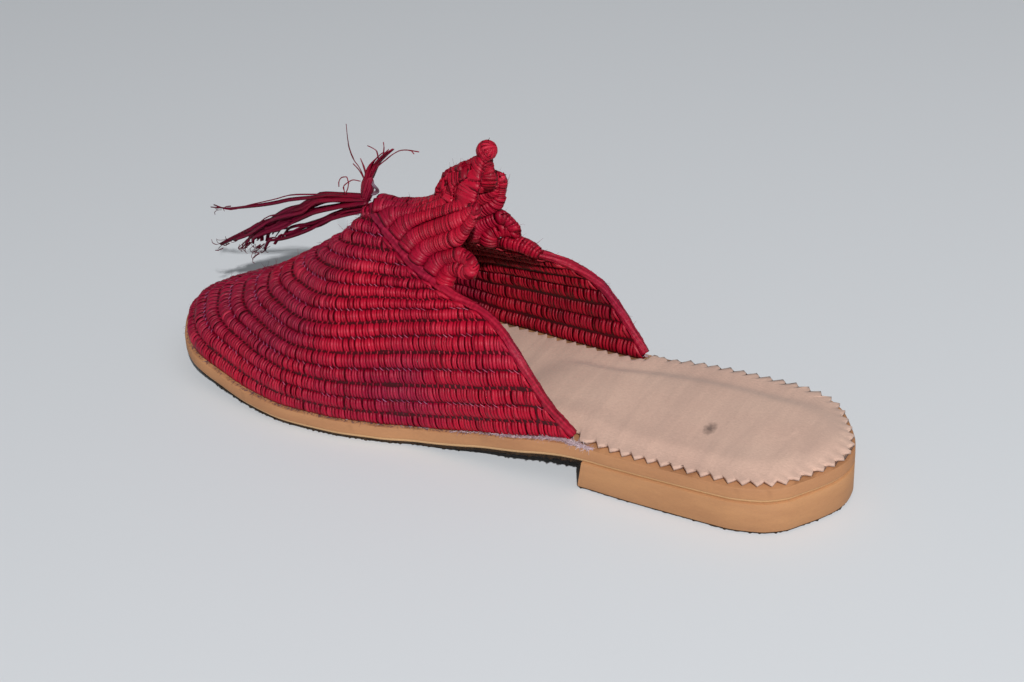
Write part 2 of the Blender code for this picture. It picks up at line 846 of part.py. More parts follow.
def strip(start, end, width, bow):
    """One flat raffia strip: a bowed run of flattened rings that narrows to its end."""
    mesh = bmesh.new()
    run = end - start
    side = run.cross(Vector((0.0, 0.0, 1.0))).normalized()
    flat = side.cross(run).normalized()
    rings = []
    for step in range(STRIP_STEPS + 1):
        share = step / STRIP_STEPS
        middle = start + run * share + flat * (4 * share * (1 - share) * bow)
        narrow = mix(1.0, STRIP_END_SHARE, share)
        ring = []
        for corner in range(STRIP_SIDES):
            turn = 2 * pi * corner / STRIP_SIDES
            across = side * (cos(turn) * width * narrow / 2)
            thick = flat * (sin(turn) * RAFFIA_THICKNESS / 2 * narrow)
            ring.append(mesh.verts.new(middle + across + thick))
        rings.append(ring)
    for lower, upper in zip(rings, rings[1:]):
        band_between(mesh, lower, upper)
    mesh.faces.new(rings[0])
    mesh.faces.new(rings[-1])
    return finish(mesh, "strip", "raffia")


def build_tassel():
    """A knot on the peak with long strips towards the toe and short ends above it."""
    centre = knot_centre()
    mesh = bmesh.new()
    bmesh.ops.create_icosphere(mesh, subdivisions=2, radius=1.0)
    for vertex in mesh.verts:
        vertex.co.x *= KNOT_RADIUS
        vertex.co.y *= KNOT_RADIUS
        vertex.co.z *= KNOT_HEIGHT / 2
        vertex.co += centre
    knot = finish(mesh, "tassel", "raffia", SMOOTH_ANGLE)
    strips = []
    count = len(TASSEL_STRIPS["forward"])
    for index in range(count):
        spread = (index / (count - 1) - 0.5) * KNOT_RADIUS
        start = centre + Vector((spread, 0.0, spread * STRIP_STAGGER - KNOT_HEIGHT * STRIP_ROOT))
        end = centre + Vector((
            TASSEL_STRIPS["aside"][index] * TASSEL_LENGTH,
            TASSEL_STRIPS["forward"][index] * TASSEL_LENGTH,
            -TASSEL_STRIPS["drop"][index] * TASSEL_DROP,
        ))
        width = TASSEL_STRIPS["width"][index] * KNOT_RADIUS
        strips.append(strip(start, end, width, TASSEL_STRIPS["bow"][index] * TASSEL_LENGTH))
    for index in range(len(TUFT_STRIPS["up"])):
        start = centre + Vector((0.0, 0.0, KNOT_HEIGHT * TUFT_ROOT))
        end = centre + TASSEL_TUFT * Vector((
            TUFT_STRIPS["aside"][index],
            TUFT_STRIPS["forward"][index],
            TUFT_STRIPS["up"][index],
        ))
        width = TUFT_STRIPS["width"][index] * KNOT_RADIUS
        strips.append(strip(start, end, width, TUFT_STRIPS["bow"][index] * TASSEL_TUFT))
    for piece in strips:
        fuse(knot, piece)


def fuse(body, piece):
    """Join a piece onto a body as one solid, and drop the piece."""
    union = body.modifiers.new("fuse", "BOOLEAN")
    union.operation = "UNION"
    union.solver = "EXACT"
    union.object = piece
    bpy.context.view_layer.update()
    joined = bpy.data.meshes.new_from_object(body.evaluated_get(bpy.context.evaluated_depsgraph_get()))
    body.modifiers.remove(union)
    body.data = joined
    bpy.data.objects.remove(piece)


def main():
    for thing in list(bpy.data.objects):
        bpy.data.objects.remove(thing)
    build_outsole()
    build_tread()
    build_heel()
    build_insole()
    build_upper()
    build_bindings()
    build_tongue()
    build_tassel()


main()
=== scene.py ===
# %% [markdown]
# # A red raffia babouche
# A babouche is a backless slipper. This one is made of raffia, which is the skin of a palm leaf
# torn into strips and dyed. The strips are wrapped round cords, and the cords are laid beside each
# other in rows. The lesson builds the wrapping strip by strip around the fixed CAD frame.

from math import pi, radians

import bpy
import numpy as np
from mathutils import Matrix, Vector


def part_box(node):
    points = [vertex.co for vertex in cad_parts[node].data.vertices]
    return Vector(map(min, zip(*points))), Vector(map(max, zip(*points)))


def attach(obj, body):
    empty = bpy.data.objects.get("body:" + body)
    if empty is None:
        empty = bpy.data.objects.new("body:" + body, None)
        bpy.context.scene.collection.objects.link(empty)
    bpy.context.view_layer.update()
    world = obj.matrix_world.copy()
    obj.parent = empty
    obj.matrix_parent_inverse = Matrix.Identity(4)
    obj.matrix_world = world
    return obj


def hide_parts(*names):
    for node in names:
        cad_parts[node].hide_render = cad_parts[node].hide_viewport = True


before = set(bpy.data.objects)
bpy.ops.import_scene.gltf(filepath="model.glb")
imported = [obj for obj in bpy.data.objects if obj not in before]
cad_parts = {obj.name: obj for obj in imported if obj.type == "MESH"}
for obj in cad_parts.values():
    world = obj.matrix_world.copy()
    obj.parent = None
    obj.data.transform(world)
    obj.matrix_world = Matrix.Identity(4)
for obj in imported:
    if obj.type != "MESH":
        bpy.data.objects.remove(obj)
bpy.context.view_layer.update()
MM = 0.001
print("CAD nodes:", sorted(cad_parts))

# %% [markdown]
# The CAD pieces were shaped with a few short tables of shares. The looks need the same surfaces, at
# a finer step, so the tables and the few functions that read them are repeated here. The length
# comes from the frame itself, so the looks follow the frame if it changes.

# %% Sizes of the last, the sole and the upper
sole_low, sole_high = (np.array(corner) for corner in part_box("outsole"))
HEEL_BACK = sole_low[1]
LENGTH = sole_high[1] - sole_low[1]
BALL_WIDTH = 89.5 * MM
HEEL_WIDTH = 64.8 * MM
HEEL_HEIGHT = 12.35 * MM
BREAST_HEIGHT = 11 * MM
HEEL_LENGTH = 83 * MM
TOE_SPRING = 8.3 * MM
SOLE_THICKNESS = 6 * MM
TREAD_THICKNESS = 1.5 * MM
SOLE_BEVEL_HEIGHT = 1.7 * MM
SOLE_BEVEL_INSET = 1.1 * MM
INSTEP_HEIGHT = 72.8 * MM
VAMP_LENGTH = 78.5 * MM
COLLAR_REACH = 87.7 * MM
WALL = 2.6 * MM
ROWS = 16
FIT_GAP = 0.3 * MM
COLLAR_Y = HEEL_BACK + COLLAR_REACH
BREAST_Y = HEEL_BACK + HEEL_LENGTH
PEAK = np.array([0.0, HEEL_BACK + LENGTH - VAMP_LENGTH, INSTEP_HEIGHT - WALL / 2])
print("length", round(LENGTH / MM, 1), "mm, peak at", (PEAK / MM).round(1))


# %% Tables of the last
def table(columns, *rows):
    """A small table with named columns, kept as one list for each column."""
    return {name: [row[index] for row in rows] for index, name in enumerate(columns.split())}


OUTLINE = table(
    "station centre half_width",
    (0.000, 0.000, 0.000),
    (0.014, 0.000, 0.185),
    (0.033, 0.000, 0.301),
    (0.048, 0.000, 0.383),
    (0.079, 0.000, 0.460),
    (0.122, -0.001, 0.495),
    (0.195, 0.000, 0.500),
    (0.295, -0.006, 0.486),
    (0.396, -0.006, 0.453),
    (0.481, 0.022, 0.424),
    (0.566, 0.045, 0.441),
    (0.620, 0.043, 0.474),
    (0.689, 0.031, 0.500),
    (0.755, 0.014, 0.494),
    (0.820, -0.003, 0.455),
    (0.886, -0.022, 0.385),
    (0.929, -0.042, 0.327),
    (0.963, -0.061, 0.240),
    (0.987, -0.073, 0.128),
    (1.000, -0.089, 0.000),
)
COLLAR_EDGE = table(
    "station inward forward rise",
    (0.000, 0.000, 0.000, 0.000),
    (0.076, -0.053, 0.062, 0.133),
    (0.157, -0.085, 0.122, 0.271),
    (0.244, -0.068, 0.184, 0.419),
    (0.316, -0.010, 0.243, 0.520),
    (0.386, 0.088, 0.310, 0.603),
    (0.448, 0.172, 0.379, 0.652),
    (0.513, 0.232, 0.458, 0.678),
    (0.593, 0.288, 0.561, 0.705),
    (0.667, 0.382, 0.651, 0.735),
    (0.738, 0.474, 0.736, 0.782),
    (0.800, 0.568, 0.806, 0.836),
    (0.877, 0.709, 0.887, 0.899),
    (0.949, 0.860, 0.961, 0.958),
    (1.000, 1.000, 1.000, 1.000),
)
SIDE_WALL = table(
    "station inward forward rise",
    (0.000, 0.000, 0.000, 0.000),
    (0.092, -0.024, 0.080, 0.113),
    (0.220, 0.020, 0.200, 0.270),
    (0.367, 0.146, 0.350, 0.435),
    (0.510, 0.317, 0.500, 0.576),
    (0.649, 0.512, 0.645, 0.694),
    (0.782, 0.707, 0.780, 0.804),
    (0.907, 0.878, 0.907, 0.914),
    (1.000, 1.000, 1.000, 1.000),
)
TOE_RIDGE = table(
    "station inward forward rise",
    (0.000, 0.000, 0.000, 0.000),
    (0.039, 0.010, 0.011, 0.065),
    (0.092, 0.055, 0.058, 0.131),
    (0.149, 0.120, 0.122, 0.178),
    (0.246, 0.232, 0.234, 0.247),
    (0.360, 0.364, 0.366, 0.327),
    (0.503, 0.522, 0.524, 0.446),
    (0.639, 0.668, 0.670, 0.577),
    (0.779, 0.813, 0.815, 0.715),
    (0.873, 0.907, 0.908, 0.818),
    (0.941, 0.961, 0.962, 0.909),
    (1.000, 1.000, 1.000, 1.000),
)
MERIDIANS = [COLLAR_EDGE, SIDE_WALL, TOE_RIDGE, SIDE_WALL, COLLAR_EDGE]
MERIDIAN_PLACES = [0.0, 0.25, 0.5, 0.75, 1.0]
SEAM_START = 0.593
print(len(OUTLINE["station"]), "stations on the outline,", len(MERIDIANS), "meridians")


# %% Reading the tables
def curve(places, values, at):
    """Read a column at many places at once, as a smooth curve that stays between its rows."""
    places = np.asarray(places, float)
    values = np.asarray(values, float)
    at = np.clip(np.asarray(at, float), places[0], places[-1])
    rate = np.diff(values, axis=-1) / np.diff(places)
    before, after = rate[..., :-1], rate[..., 1:]
    same_way = before * after > 0
    inner = np.where(same_way, 2 * before * after / np.where(same_way, before + after, 1.0), 0.0)
    slope = np.concatenate([rate[..., :1], inner, rate[..., -1:]], axis=-1)
    here = np.clip(np.searchsorted(places, at, side="right") - 1, 0, len(places) - 2)
    span = places[here + 1] - places[here]
    part = (at - places[here]) / span
    rest = 1 - part

    def pick(rows, index):
        rows = np.broadcast_to(rows, at.shape + rows.shape[-1:])
        return np.take_along_axis(rows, index[..., None], axis=-1)[..., 0]

    start = pick(values, here) * (1 + 2 * part) + span * part * pick(slope, here)
    end = pick(values, here + 1) * (1 + 2 * rest) - span * rest * pick(slope, here + 1)
    return start * rest ** 2 + end * part ** 2


def ease(value, low, high):
    """A smooth step from 0 at low to 1 at high."""
    part = np.clip((value - low) / (high - low), 0.0, 1.0)
    return part * part * (3 - 2 * part)


def mix(first, second, share):
    """Part of the way from first to second."""
    return first + (second - first) * share


def unit(vectors):
    """The same ways, each of length 1."""
    return vectors / np.maximum(np.linalg.norm(vectors, axis=-1, keepdims=True), 1e-12)


# %% [markdown]
# The sole's outline is one line down each side. Every rim, bevel and stitch line is that outline
# moved inward by some amount, square to the outline, and read again at equal steps.

# %% The sole's outline and heights
def sole_under(y):
    """Height of the outsole's underside: flat heel, waist, ball on the floor, toe spring."""
    station = (y - HEEL_BACK) / LENGTH
    breast = HEEL_LENGTH / LENGTH
    heel = mix(HEEL_HEIGHT, BREAST_HEIGHT, np.clip(station, 0, breast) / breast)
    waist = mix(BREAST_HEIGHT, TREAD_THICKNESS, ease(station, breast, 0.62))
    toe = np.clip(station - 0.72, 0, 1) / 0.28
    return np.where(station < breast, heel, waist) + TOE_SPRING * toe ** 2


def sole_top(y):
    """Height of the outsole's upper face."""
    return sole_under(y) + SOLE_THICKNESS


def outline_side(side, count=720):
    """One side of the sole's outline, from the heel's back to the toe."""
    station = (1 - np.cos(pi * np.arange(count + 1) / count)) / 2
    middle = BALL_WIDTH * curve(OUTLINE["station"], OUTLINE["centre"], station)
    width = mix(HEEL_WIDTH, BALL_WIDTH, ease(station, 0.30, 0.55))
    square = np.array(OUTLINE["half_width"]) ** 2
    half = width * np.sqrt(np.maximum(curve(OUTLINE["station"], square, station), 0))
    return np.stack([middle + side * half, HEEL_BACK + station * LENGTH], axis=1)


SIDES = {-1: outline_side(-1), 1: outline_side(1)}


def inset_side(side, inset):
    """One side of the outline moved inward; inset is a length or a function of y."""
    own, other = SIDES[side], SIDES[-side]
    around = np.concatenate([other[1:2], own, other[-2:-1]])
    along = unit(around[2:] - around[:-2])
    inward = np.stack([along[:, 1], -along[:, 0]], axis=1) * -side
    amount = inset(own[:, 1]) if callable(inset) else np.full(len(own), inset)
    return own + inward * amount[:, None]


def cut_at(points, y, keep):
    """The part of a side in front of y or behind it, with a point at y."""
    index = int(np.searchsorted(points[:, 1], y))
    share = (y - points[index - 1, 1]) / (points[index, 1] - points[index - 1, 1])
    corner = mix(points[index - 1], points[index], share)[None]
    return np.concatenate([corner, points[index:]] if keep == "front" else [points[:index], corner])


def lengths_along(points):
    """How far along a line each of its points lies."""
    return np.concatenate([[0], np.cumsum(np.linalg.norm(np.diff(points, axis=0), axis=1))])


def equal_steps(points, steps):
    """The same line with its points at equal steps."""
    lengths = lengths_along(points)
    places = np.linspace(0, lengths[-1], steps + 1)
    return np.stack([np.interp(places, lengths, column) for column in points.T], axis=1)


def rim(inset, steps, y=None, keep="front"):
    """Both sides as one loop: up the inner side from the heel, and back down the outer side."""
    sides = []
    for side in (-1, 1):
        points = inset_side(side, inset)
        if y is not None:
            points = cut_at(points, y, keep)
        sides.append(equal_steps(points, steps))
    return np.concatenate([sides[0], sides[1][::-1]])


print("outline width", round((SIDES[1][:, 0].max() - SIDES[-1][:, 0].min()) / MM, 1), "mm")

# %% [markdown]
# The upper is a surface with two directions: around, from one collar end round the toe to the
# other, and up, from the sole to the peak. Any point on it is the foot mixed towards the peak.


# %% The upper's surface
def upper_inset(y):
    """How far the upper's foot lies in from the sole's edge."""
    return mix(2.4 * MM, 1.4 * MM, ease(y, COLLAR_Y, COLLAR_Y + 30 * MM))


def foot_line(count=1500):
    """The middle of the wall's foot, from one collar end round the toe to the other."""
    def inset(y):
        return upper_inset(y) + WALL / 2

    sides = [cut_at(inset_side(side, inset), COLLAR_Y, "front") for side in (-1, 1)]
    return equal_steps(np.concatenate([sides[0], sides[1][::-1][1:]]), count)


FOOT = foot_line()


def foot_at(around):
    """The foot line's x and y at shares of the way round."""
    place = around * (len(FOOT) - 1)
    return [np.interp(place, np.arange(len(FOOT)), column) for column in FOOT.T]


def wall(around, up):
    """The middle of the wall at shares of the way round and of the rows up to the peak."""
    around, up = np.broadcast_arrays(np.clip(around, 0, 1), np.clip(up, 0, 1))
    foot_x, foot_y = foot_at(around)
    foot = (foot_x, foot_y, sole_top(foot_y) + FIT_GAP)
    axes = []
    for start, top, column in zip(foot, PEAK, ("inward", "forward", "rise")):
        values = np.stack([curve(m["station"], m[column], up) for m in MERIDIANS], axis=-1)
        axes.append(mix(start, top, curve(MERIDIAN_PLACES, values, around)))
    return np.stack(axes, axis=-1)


def wall_frame(around, up, step=0.004):
    """The way along the rows and the normal of the wall; OUTWARD says which way it points."""
    around, up = np.broadcast_arrays(np.clip(around, step, 1 - step), np.clip(up, 0, 0.99))
    along = unit(wall(around + step, up) - wall(around - step, up))
    climb = unit(wall(around, up + step) - wall(around, up - step))
    return along, unit(np.cross(climb, along))


probe = wall_frame(np.array([0.2]), np.array([0.4]))[1][0]
OUTWARD = 1.0 if probe[0] < 0 else -1.0
print("normal on the inner side", probe.round(2))

# %% [markdown]
# Nearly all of this shoe is strips, so one builder makes them all. A strip is a row of flattened
# diamonds: its middle line, a vector to its side and a vector to its top. With smooth shading
# four corners read as a rounded strip, and thousands of strips stay light. Each point carries a
# tone, for the dye's unevenness and for painted shade in hollows and painted highlight on crests,
# and fibre coordinates, so that the grain runs along the strip.


# %% The strip builder
GRAIN_SHIFT = 50


class Strips:
    """Collects strips and makes one mesh of them."""

    def __init__(self):
        self.points = []
        self.faces = []
        self.tones = []
        self.fibres = []
        self.count = 0

    def add(self, middle, side, lift, tone, seed=0):
        """middle, side and lift are strips x steps x 3; tone is strips or strips x steps."""
        strips, steps = middle.shape[:2]
        ring = np.stack([middle - side, middle + lift, middle + side, middle - lift], axis=2)
        self.points.append(ring.reshape(-1, 3))
        index = self.count + np.arange(strips * steps * 4).reshape(strips, steps, 4)
        after = np.roll(index, -1, axis=2)
        quads = np.stack([index[:, :-1], after[:, :-1], after[:, 1:], index[:, 1:]], axis=-1)
        ends = np.concatenate([index[:, 0, ::-1], index[:, -1]])
        self.faces.append(np.concatenate([quads.reshape(-1, 4), ends]))
        tone = np.asarray(tone, float).reshape(strips, -1, 1)
        self.tones.append(np.broadcast_to(tone, (strips, steps, 4)).reshape(-1))
        steps_long = np.linalg.norm(np.diff(middle, axis=1, prepend=middle[:, :1]), axis=-1)
        run = steps_long.cumsum(axis=1) / MM
        chance = np.random.default_rng(seed).random(strips) * GRAIN_SHIFT
        fibre = np.zeros((strips, steps, 4, 3))
        fibre[..., 0] = np.array([-1.0, 0.0, 1.0, 0.0])
        fibre[..., 1] = (run + chance[:, None] * 3)[..., None]
        fibre[..., 2] = chance[:, None, None]
        self.fibres.append(fibre.reshape(-1, 3))
        self.count += strips * steps * 4

    def piece(self, name, material):
        """Make the mesh, in one material."""
        return make_piece(
            name,
            np.concatenate(self.points),
            np.concatenate(self.faces),
            [material],
            tone=np.concatenate(self.tones),
            fibre=np.concatenate(self.fibres),
        )


def make_piece(name, points, faces, materials, tone=None, fibre=None):
    """A named mesh object that rides on the frame, with its tone and fibre attributes."""
    mesh = bpy.data.meshes.new(name)
    mesh.from_pydata(points.tolist(), [], [list(face) for face in faces])
    mesh.shade_smooth()
    if tone is not None:
        layer = mesh.attributes.new("tone", "FLOAT", "POINT")
        layer.data.foreach_set("value", tone.astype(np.float32))
    if fibre is not None:
        layer = mesh.attributes.new("fibre", "FLOAT_VECTOR", "POINT")
        layer.data.foreach_set("vector", fibre.astype(np.float32).ravel())
    for material in materials:
        mesh.materials.append(material)
    piece = bpy.data.objects.new(name, mesh)
    bpy.context.collection.objects.link(piece)
    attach(piece, "root")
    print(name, len(mesh.vertices), "points", len(mesh.polygons), "faces")
    return piece


# %% [markdown]
# Materials come next, before the pieces that wear them. A shader node group holds what several
# finishes share: the grain that runs along a raffia strip, and the mottling of leather and suede.
# The groups hand out only colours, masks and normals, and each finish keeps its own shader.

# %% Node helpers
SOCKET_TYPES = {"FLOAT": "NodeSocketFloat", "COLOR": "NodeSocketColor", "VECTOR": "NodeSocketVector"}


def new_group(name, inputs, outputs):
    """An empty shader group with named sockets; inputs are (name, kind, value)."""
    group = bpy.data.node_groups.new(name, "ShaderNodeTree")
    for label, kind, value in inputs:
        socket = group.interface.new_socket(label, in_out="INPUT", socket_type=SOCKET_TYPES[kind])
        if value is not None:
            socket.default_value = value
    for label, kind in outputs:
        group.interface.new_socket(label, in_out="OUTPUT", socket_type=SOCKET_TYPES[kind])
    return group, group.nodes.new("NodeGroupInput"), group.nodes.new("NodeGroupOutput")


def add_node(tree, kind, links=None, **settings):
    """A node with its settings; links maps an input to a value or to another node's output."""
    node = tree.nodes.new(kind)
    for label, value in settings.items():
        setattr(node, label, value)
    for label, value in (links or {}).items():
        if isinstance(value, bpy.types.NodeSocket):
            tree.links.new(value, node.inputs[label])
        else:
            node.inputs[label].default_value = value
    return node


def blend_colour(tree, factor, first, second, mode="MIX"):
    """Mix two colours and return the result's output."""
    node = tree.nodes.new("ShaderNodeMix")
    node.data_type = "RGBA"
    node.blend_type = mode
    for index, value in ((0, factor), (6, first), (7, second)):
        if isinstance(value, bpy.types.NodeSocket):
            tree.links.new(value, node.inputs[index])
        else:
            node.inputs[index].default_value = value
    return node.outputs[2]


def scale_range(tree, value, low, high, start=0.0, end=1.0):
    """Map a value from the range start to end to the range low to high."""
    ranges = {"From Min": start, "From Max": end, "To Min": low, "To Max": high}
    return add_node(tree, "ShaderNodeMapRange", {"Value": value, **ranges}).outputs["Result"]


def add_up(tree, first, second):
    """The sum of two values."""
    return add_node(tree, "ShaderNodeMath", {0: first, 1: second}, operation="ADD").outputs[0]


def noise(tree, place, scale, detail, **more):
    """A noise texture's value, 0 to 1; more holds other inputs of the node."""
    inputs = {"Vector": place, "Scale": scale, "Detail": detail, **more}
    return add_node(tree, "ShaderNodeTexNoise", inputs).outputs["Fac"]


# %% The raffia grain group
def build_raffia_group():
    """Colour, roughness and normal of dyed raffia from the tone and fibre attributes."""
    inputs = [
        ("Deep", "COLOR", (0.05, 0.002, 0.006, 1)),
        ("Dye", "COLOR", (0.25, 0.008, 0.022, 1)),
        ("Bright", "COLOR", (0.5, 0.05, 0.09, 1)),
        ("Faded", "COLOR", (0.2, 0.008, 0.035, 1)),
        ("Relief", "FLOAT", 0.4),
    ]
    outputs = [("Color", "COLOR"), ("Roughness", "FLOAT"), ("Normal", "VECTOR")]
    group, put, out = new_group("raffia_grain", inputs, outputs)
    tone = add_node(group, "ShaderNodeAttribute", attribute_name="tone").outputs["Fac"]
    fibre = add_node(group, "ShaderNodeAttribute", attribute_name="fibre").outputs["Vector"]
    place = add_node(group, "ShaderNodeTexCoord").outputs["Object"]
    stretch = add_node(group, "ShaderNodeMapping", {"Vector": fibre, "Scale": (1.9, 0.22, 1.0)})
    streaks = noise(group, stretch.outputs[0], 1.6, 4.0, Roughness=0.6)
    patches = noise(group, place, 55.0, 2.0)
    flecks = noise(group, place, 900.0, 2.0)
    clouds = noise(group, place, 24.0, 3.0)
    # A strip's own tone, with the painted shade and highlight that it carries, streaked along its
    # fibres and patchy over the shoe.
    shade = add_up(group, tone, scale_range(group, streaks, -0.30, 0.30))
    shade = add_up(group, shade, scale_range(group, patches, -0.22, 0.22))
    # The dye has faded in clouds, and the colour also turns darker and more purple towards the toe.
    split = add_node(group, "ShaderNodeSeparateXYZ", {"Vector": place})
    toeward = scale_range(group, split.outputs["Y"], -0.15, 0.20, 0.10, 0.21)
    faded = scale_range(group, add_up(group, clouds, toeward), 0.0, 1.0, 0.40, 0.64)
    dye = blend_colour(group, faded, put.outputs["Dye"], put.outputs["Faded"])
    # Low tones turn to the deep colour and high ones to the bright colour, so the painted shade and
    # painted highlight that the tone carries come out here.
    dark = scale_range(group, shade, 0.0, 1.0, 0.0, 0.5)
    body = blend_colour(group, dark, put.outputs["Deep"], dye)
    light = scale_range(group, shade, 0.0, 1.0, 0.55, 1.25)
    body = blend_colour(group, light, body, put.outputs["Bright"])
    group.links.new(body, out.inputs["Color"])
    group.links.new(scale_range(group, flecks, 0.22, 0.60), out.inputs["Roughness"])
    relief = {"Strength": put.outputs["Relief"], "Distance": 0.4 * MM, "Height": streaks}
    bump = add_node(group, "ShaderNodeBump", relief)
    group.links.new(bump.outputs[0], out.inputs["Normal"])
    return group


RAFFIA_GRAIN = build_raffia_group()
print("raffia grain has", len(RAFFIA_GRAIN.nodes), "nodes")


# %% The leather mottle group
def build_mottle_group():
    """Two-colour mottling with a fine nap, for leather edges, suede and rubber."""
    inputs = [
        ("First", "COLOR", (0.4, 0.2, 0.1, 1)),
        ("Second", "COLOR", (0.5, 0.3, 0.15, 1)),
        ("Patch Size", "FLOAT", 60.0),
        ("Nap Size", "FLOAT", 1500.0),
        ("Flatness", "VECTOR", (1.0, 1.0, 1.0)),
        ("Relief", "FLOAT", 0.3),
    ]
    outputs = [("Color", "COLOR"), ("Mask", "FLOAT"), ("Roughness", "FLOAT"), ("Normal", "VECTOR")]
    group, put, out = new_group("leather_mottle", inputs, outputs)
    place = add_node(group, "ShaderNodeTexCoord").outputs["Object"]
    squeeze = {0: place, 1: put.outputs["Flatness"]}
    layers = add_node(group, "ShaderNodeVectorMath", squeeze, operation="MULTIPLY").outputs[0]
    patches = noise(group, layers, put.outputs["Patch Size"], 4.0, Roughness=0.6)
    nap = noise(group, layers, put.outputs["Nap Size"], 3.0, Roughness=0.7)
    mask = scale_range(group, patches, 0.0, 1.0, 0.32, 0.68)
    body = blend_colour(group, mask, put.outputs["First"], put.outputs["Second"])
    grain = scale_range(group, nap, 0.80, 1.18)
    grey = add_node(group, "ShaderNodeCombineColor", {"Red": grain, "Green": grain, "Blue": grain})
    body = blend_colour(group, 1.0, body, grey.outputs[0], "MULTIPLY")
    group.links.new(body, out.inputs["Color"])
    group.links.new(mask, out.inputs["Mask"])
    group.links.new(scale_range(group, nap, 0.62, 0.95), out.inputs["Roughness"])
    relief = {"Strength": put.outputs["Relief"], "Distance": 0.3 * MM, "Height": nap}
    bump = add_node(group, "ShaderNodeBump", relief)
    group.links.new(bump.outputs[0], out.inputs["Normal"])
    return group


LEATHER_MOTTLE = build_mottle_group()
print("leather mottle has", len(LEATHER_MOTTLE.nodes), "nodes")


# %% Finishes from the groups
def grouped_material(name, group, values, **shader_values):
    """A Principled finish whose colour, roughness and normal come from a group."""
    material = bpy.data.materials.new(name)
    material.use_nodes = True
    tree = material.node_tree
    shader = tree.nodes["Principled BSDF"]
    node = tree.nodes.new("ShaderNodeGroup")
    node.node_tree = group
    for label, value in values.items():
        node.inputs[label].default_value = value
    for source, target in (("Color", "Base Color"), ("Roughness", "Roughness"), ("Normal", "Normal")):
        tree.links.new(node.outputs[source], shader.inputs[target])
    for label, value in shader_values.items():
        shader.inputs[label.replace("_", " ")].default_value = value
    return material


def raffia(name, deep, dye, bright, relief=0.5):
    """Dyed raffia; where the dye has faded it is darker and more purple."""
    faded = (dye[0] * 0.60, dye[1], dye[2] * 1.25)
    values = {
        "Deep": (*deep, 1), "Dye": (*dye, 1), "Bright": (*bright, 1), "Faded": (*faded, 1),
        "Relief": relief,
    }
    return grouped_material(name, RAFFIA_GRAIN, values, Specular_IOR_Level=0.22)


def leather(name, first, second, patch, nap, flatness=(1, 1, 1), relief=0.3, **shader_values):
    """Leather, suede or rubber, mottled between two colours."""
    values = {
        "First": (*first, 1), "Second": (*second, 1), "Patch Size": patch, "Nap Size": nap,
        "Flatness": flatness, "Relief": relief,
    }
    return grouped_material(name, LEATHER_MOTTLE, values, **shader_values)


RAFFIA_RED = raffia(
    "raffia_red", (0.18, 0.0015, 0.012), (0.39, 0.003, 0.022), (0.58, 0.035, 0.070),
)
# A darker copy of the red raffia, as painted shade, for the inside of the upper and the tongue's cores.
RAFFIA_INSIDE_SHADED = raffia(
    "raffia_inside_shaded", (0.060, 0.0006, 0.003), (0.30, 0.0030, 0.015), (0.50, 0.020, 0.040),
)
RAFFIA_CORD = raffia(
    "raffia_cord", (0.11, 0.0015, 0.008), (0.34, 0.005, 0.026), (0.55, 0.035, 0.065), 0.9,
)
# Nearly black red for the wall behind the strips: painted shade in the holes between the stitches.
RAFFIA_CORE_SHADE = raffia(
    "raffia_core_shade", (0.045, 0.0006, 0.0032), (0.15, 0.0014, 0.009), (0.22, 0.003, 0.014), 0.3,
)
RAFFIA_STRIP = raffia(
    "raffia_strip", (0.06, 0.001, 0.006), (0.25, 0.003, 0.020), (0.45, 0.020, 0.045), 0.8,
)
# Pale lilac raffia for the slanting strips; the paleness is partly painted glint.
RAFFIA_PALE_GLINT = raffia(
    "raffia_pale_glint", (0.20, 0.006, 0.025), (0.46, 0.07, 0.13), (0.66, 0.30, 0.38), 0.4,
)
MAUVE_FLUFF = raffia(
    "mauve_fluff", (0.13, 0.06, 0.08), (0.42, 0.27, 0.31), (0.80, 0.68, 0.70), 0.2,
)
SOLE_EDGE = leather(
    "sole_edge", (0.36, 0.165, 0.074), (0.43, 0.205, 0.090), 70, 2400, (0.35, 0.35, 2.0), 0.35,
)
SOLE_BEVEL = leather(
    "sole_bevel", (0.62, 0.36, 0.165), (0.70, 0.42, 0.20), 60, 2600, (0.4, 0.4, 1.5), 0.25,
)
HEEL_SIDE = leather(
    "heel_side", (0.37, 0.175, 0.077), (0.44, 0.217, 0.094), 90, 2600, (0.4, 0.4, 1.8), 0.35,
)
TREAD_RUBBER = leather(
    "tread_rubber", (0.020, 0.012, 0.008), (0.050, 0.031, 0.019), 300, 1800, (1, 1, 1), 0.6,
    Specular_IOR_Level=0.12,
)
print(len(bpy.data.materials), "finishes so far")

# %% [markdown]
# The upper's rows come from one idea: a strip climbs from one valley over the crest of the row to
# the next valley, and its ends tuck in. Two strips share each stitch. Every other valley is deep,
# with small dark holes between the stitches, and the rest are shallow, with short pale strips
# lying on the slant. The strips are worked out for a whole row at once.

# %% Sizes of the wrapping
STITCH = 2.3 * MM
STRIPS_PER_STITCH = 2
STRIP_SPACING = 0.41
STRIP_LEAN = 0.16
STRIP_WIDTH = 1.56 * MM
STRIP_THICKNESS = 0.46 * MM
DEEP_VALLEY = 0.45 * MM
SHALLOW_VALLEY = 0.80 * MM
CREST = 1.45 * MM
TUCK = 0.25 * MM
CLIMB_STEPS = 7
EXTRA_STITCHES = 3
ROW_SAMPLES = 400


def valley_height(number):
    """Height over the wall's middle of the valley below row number; even valleys are shallow."""
    return DEEP_VALLEY if number % 2 else SHALLOW_VALLEY


def row_places(up, pitch):
    """Shares of the way round for equal steps along a row at one height."""
    around = np.linspace(0, 1, ROW_SAMPLES)
    lengths = lengths_along(wall(around, np.full(ROW_SAMPLES, up)))
    count = max(int(lengths[-1] / pitch), 4)
    return np.interp((np.arange(count) + 0.5) / count * lengths[-1], lengths, around)


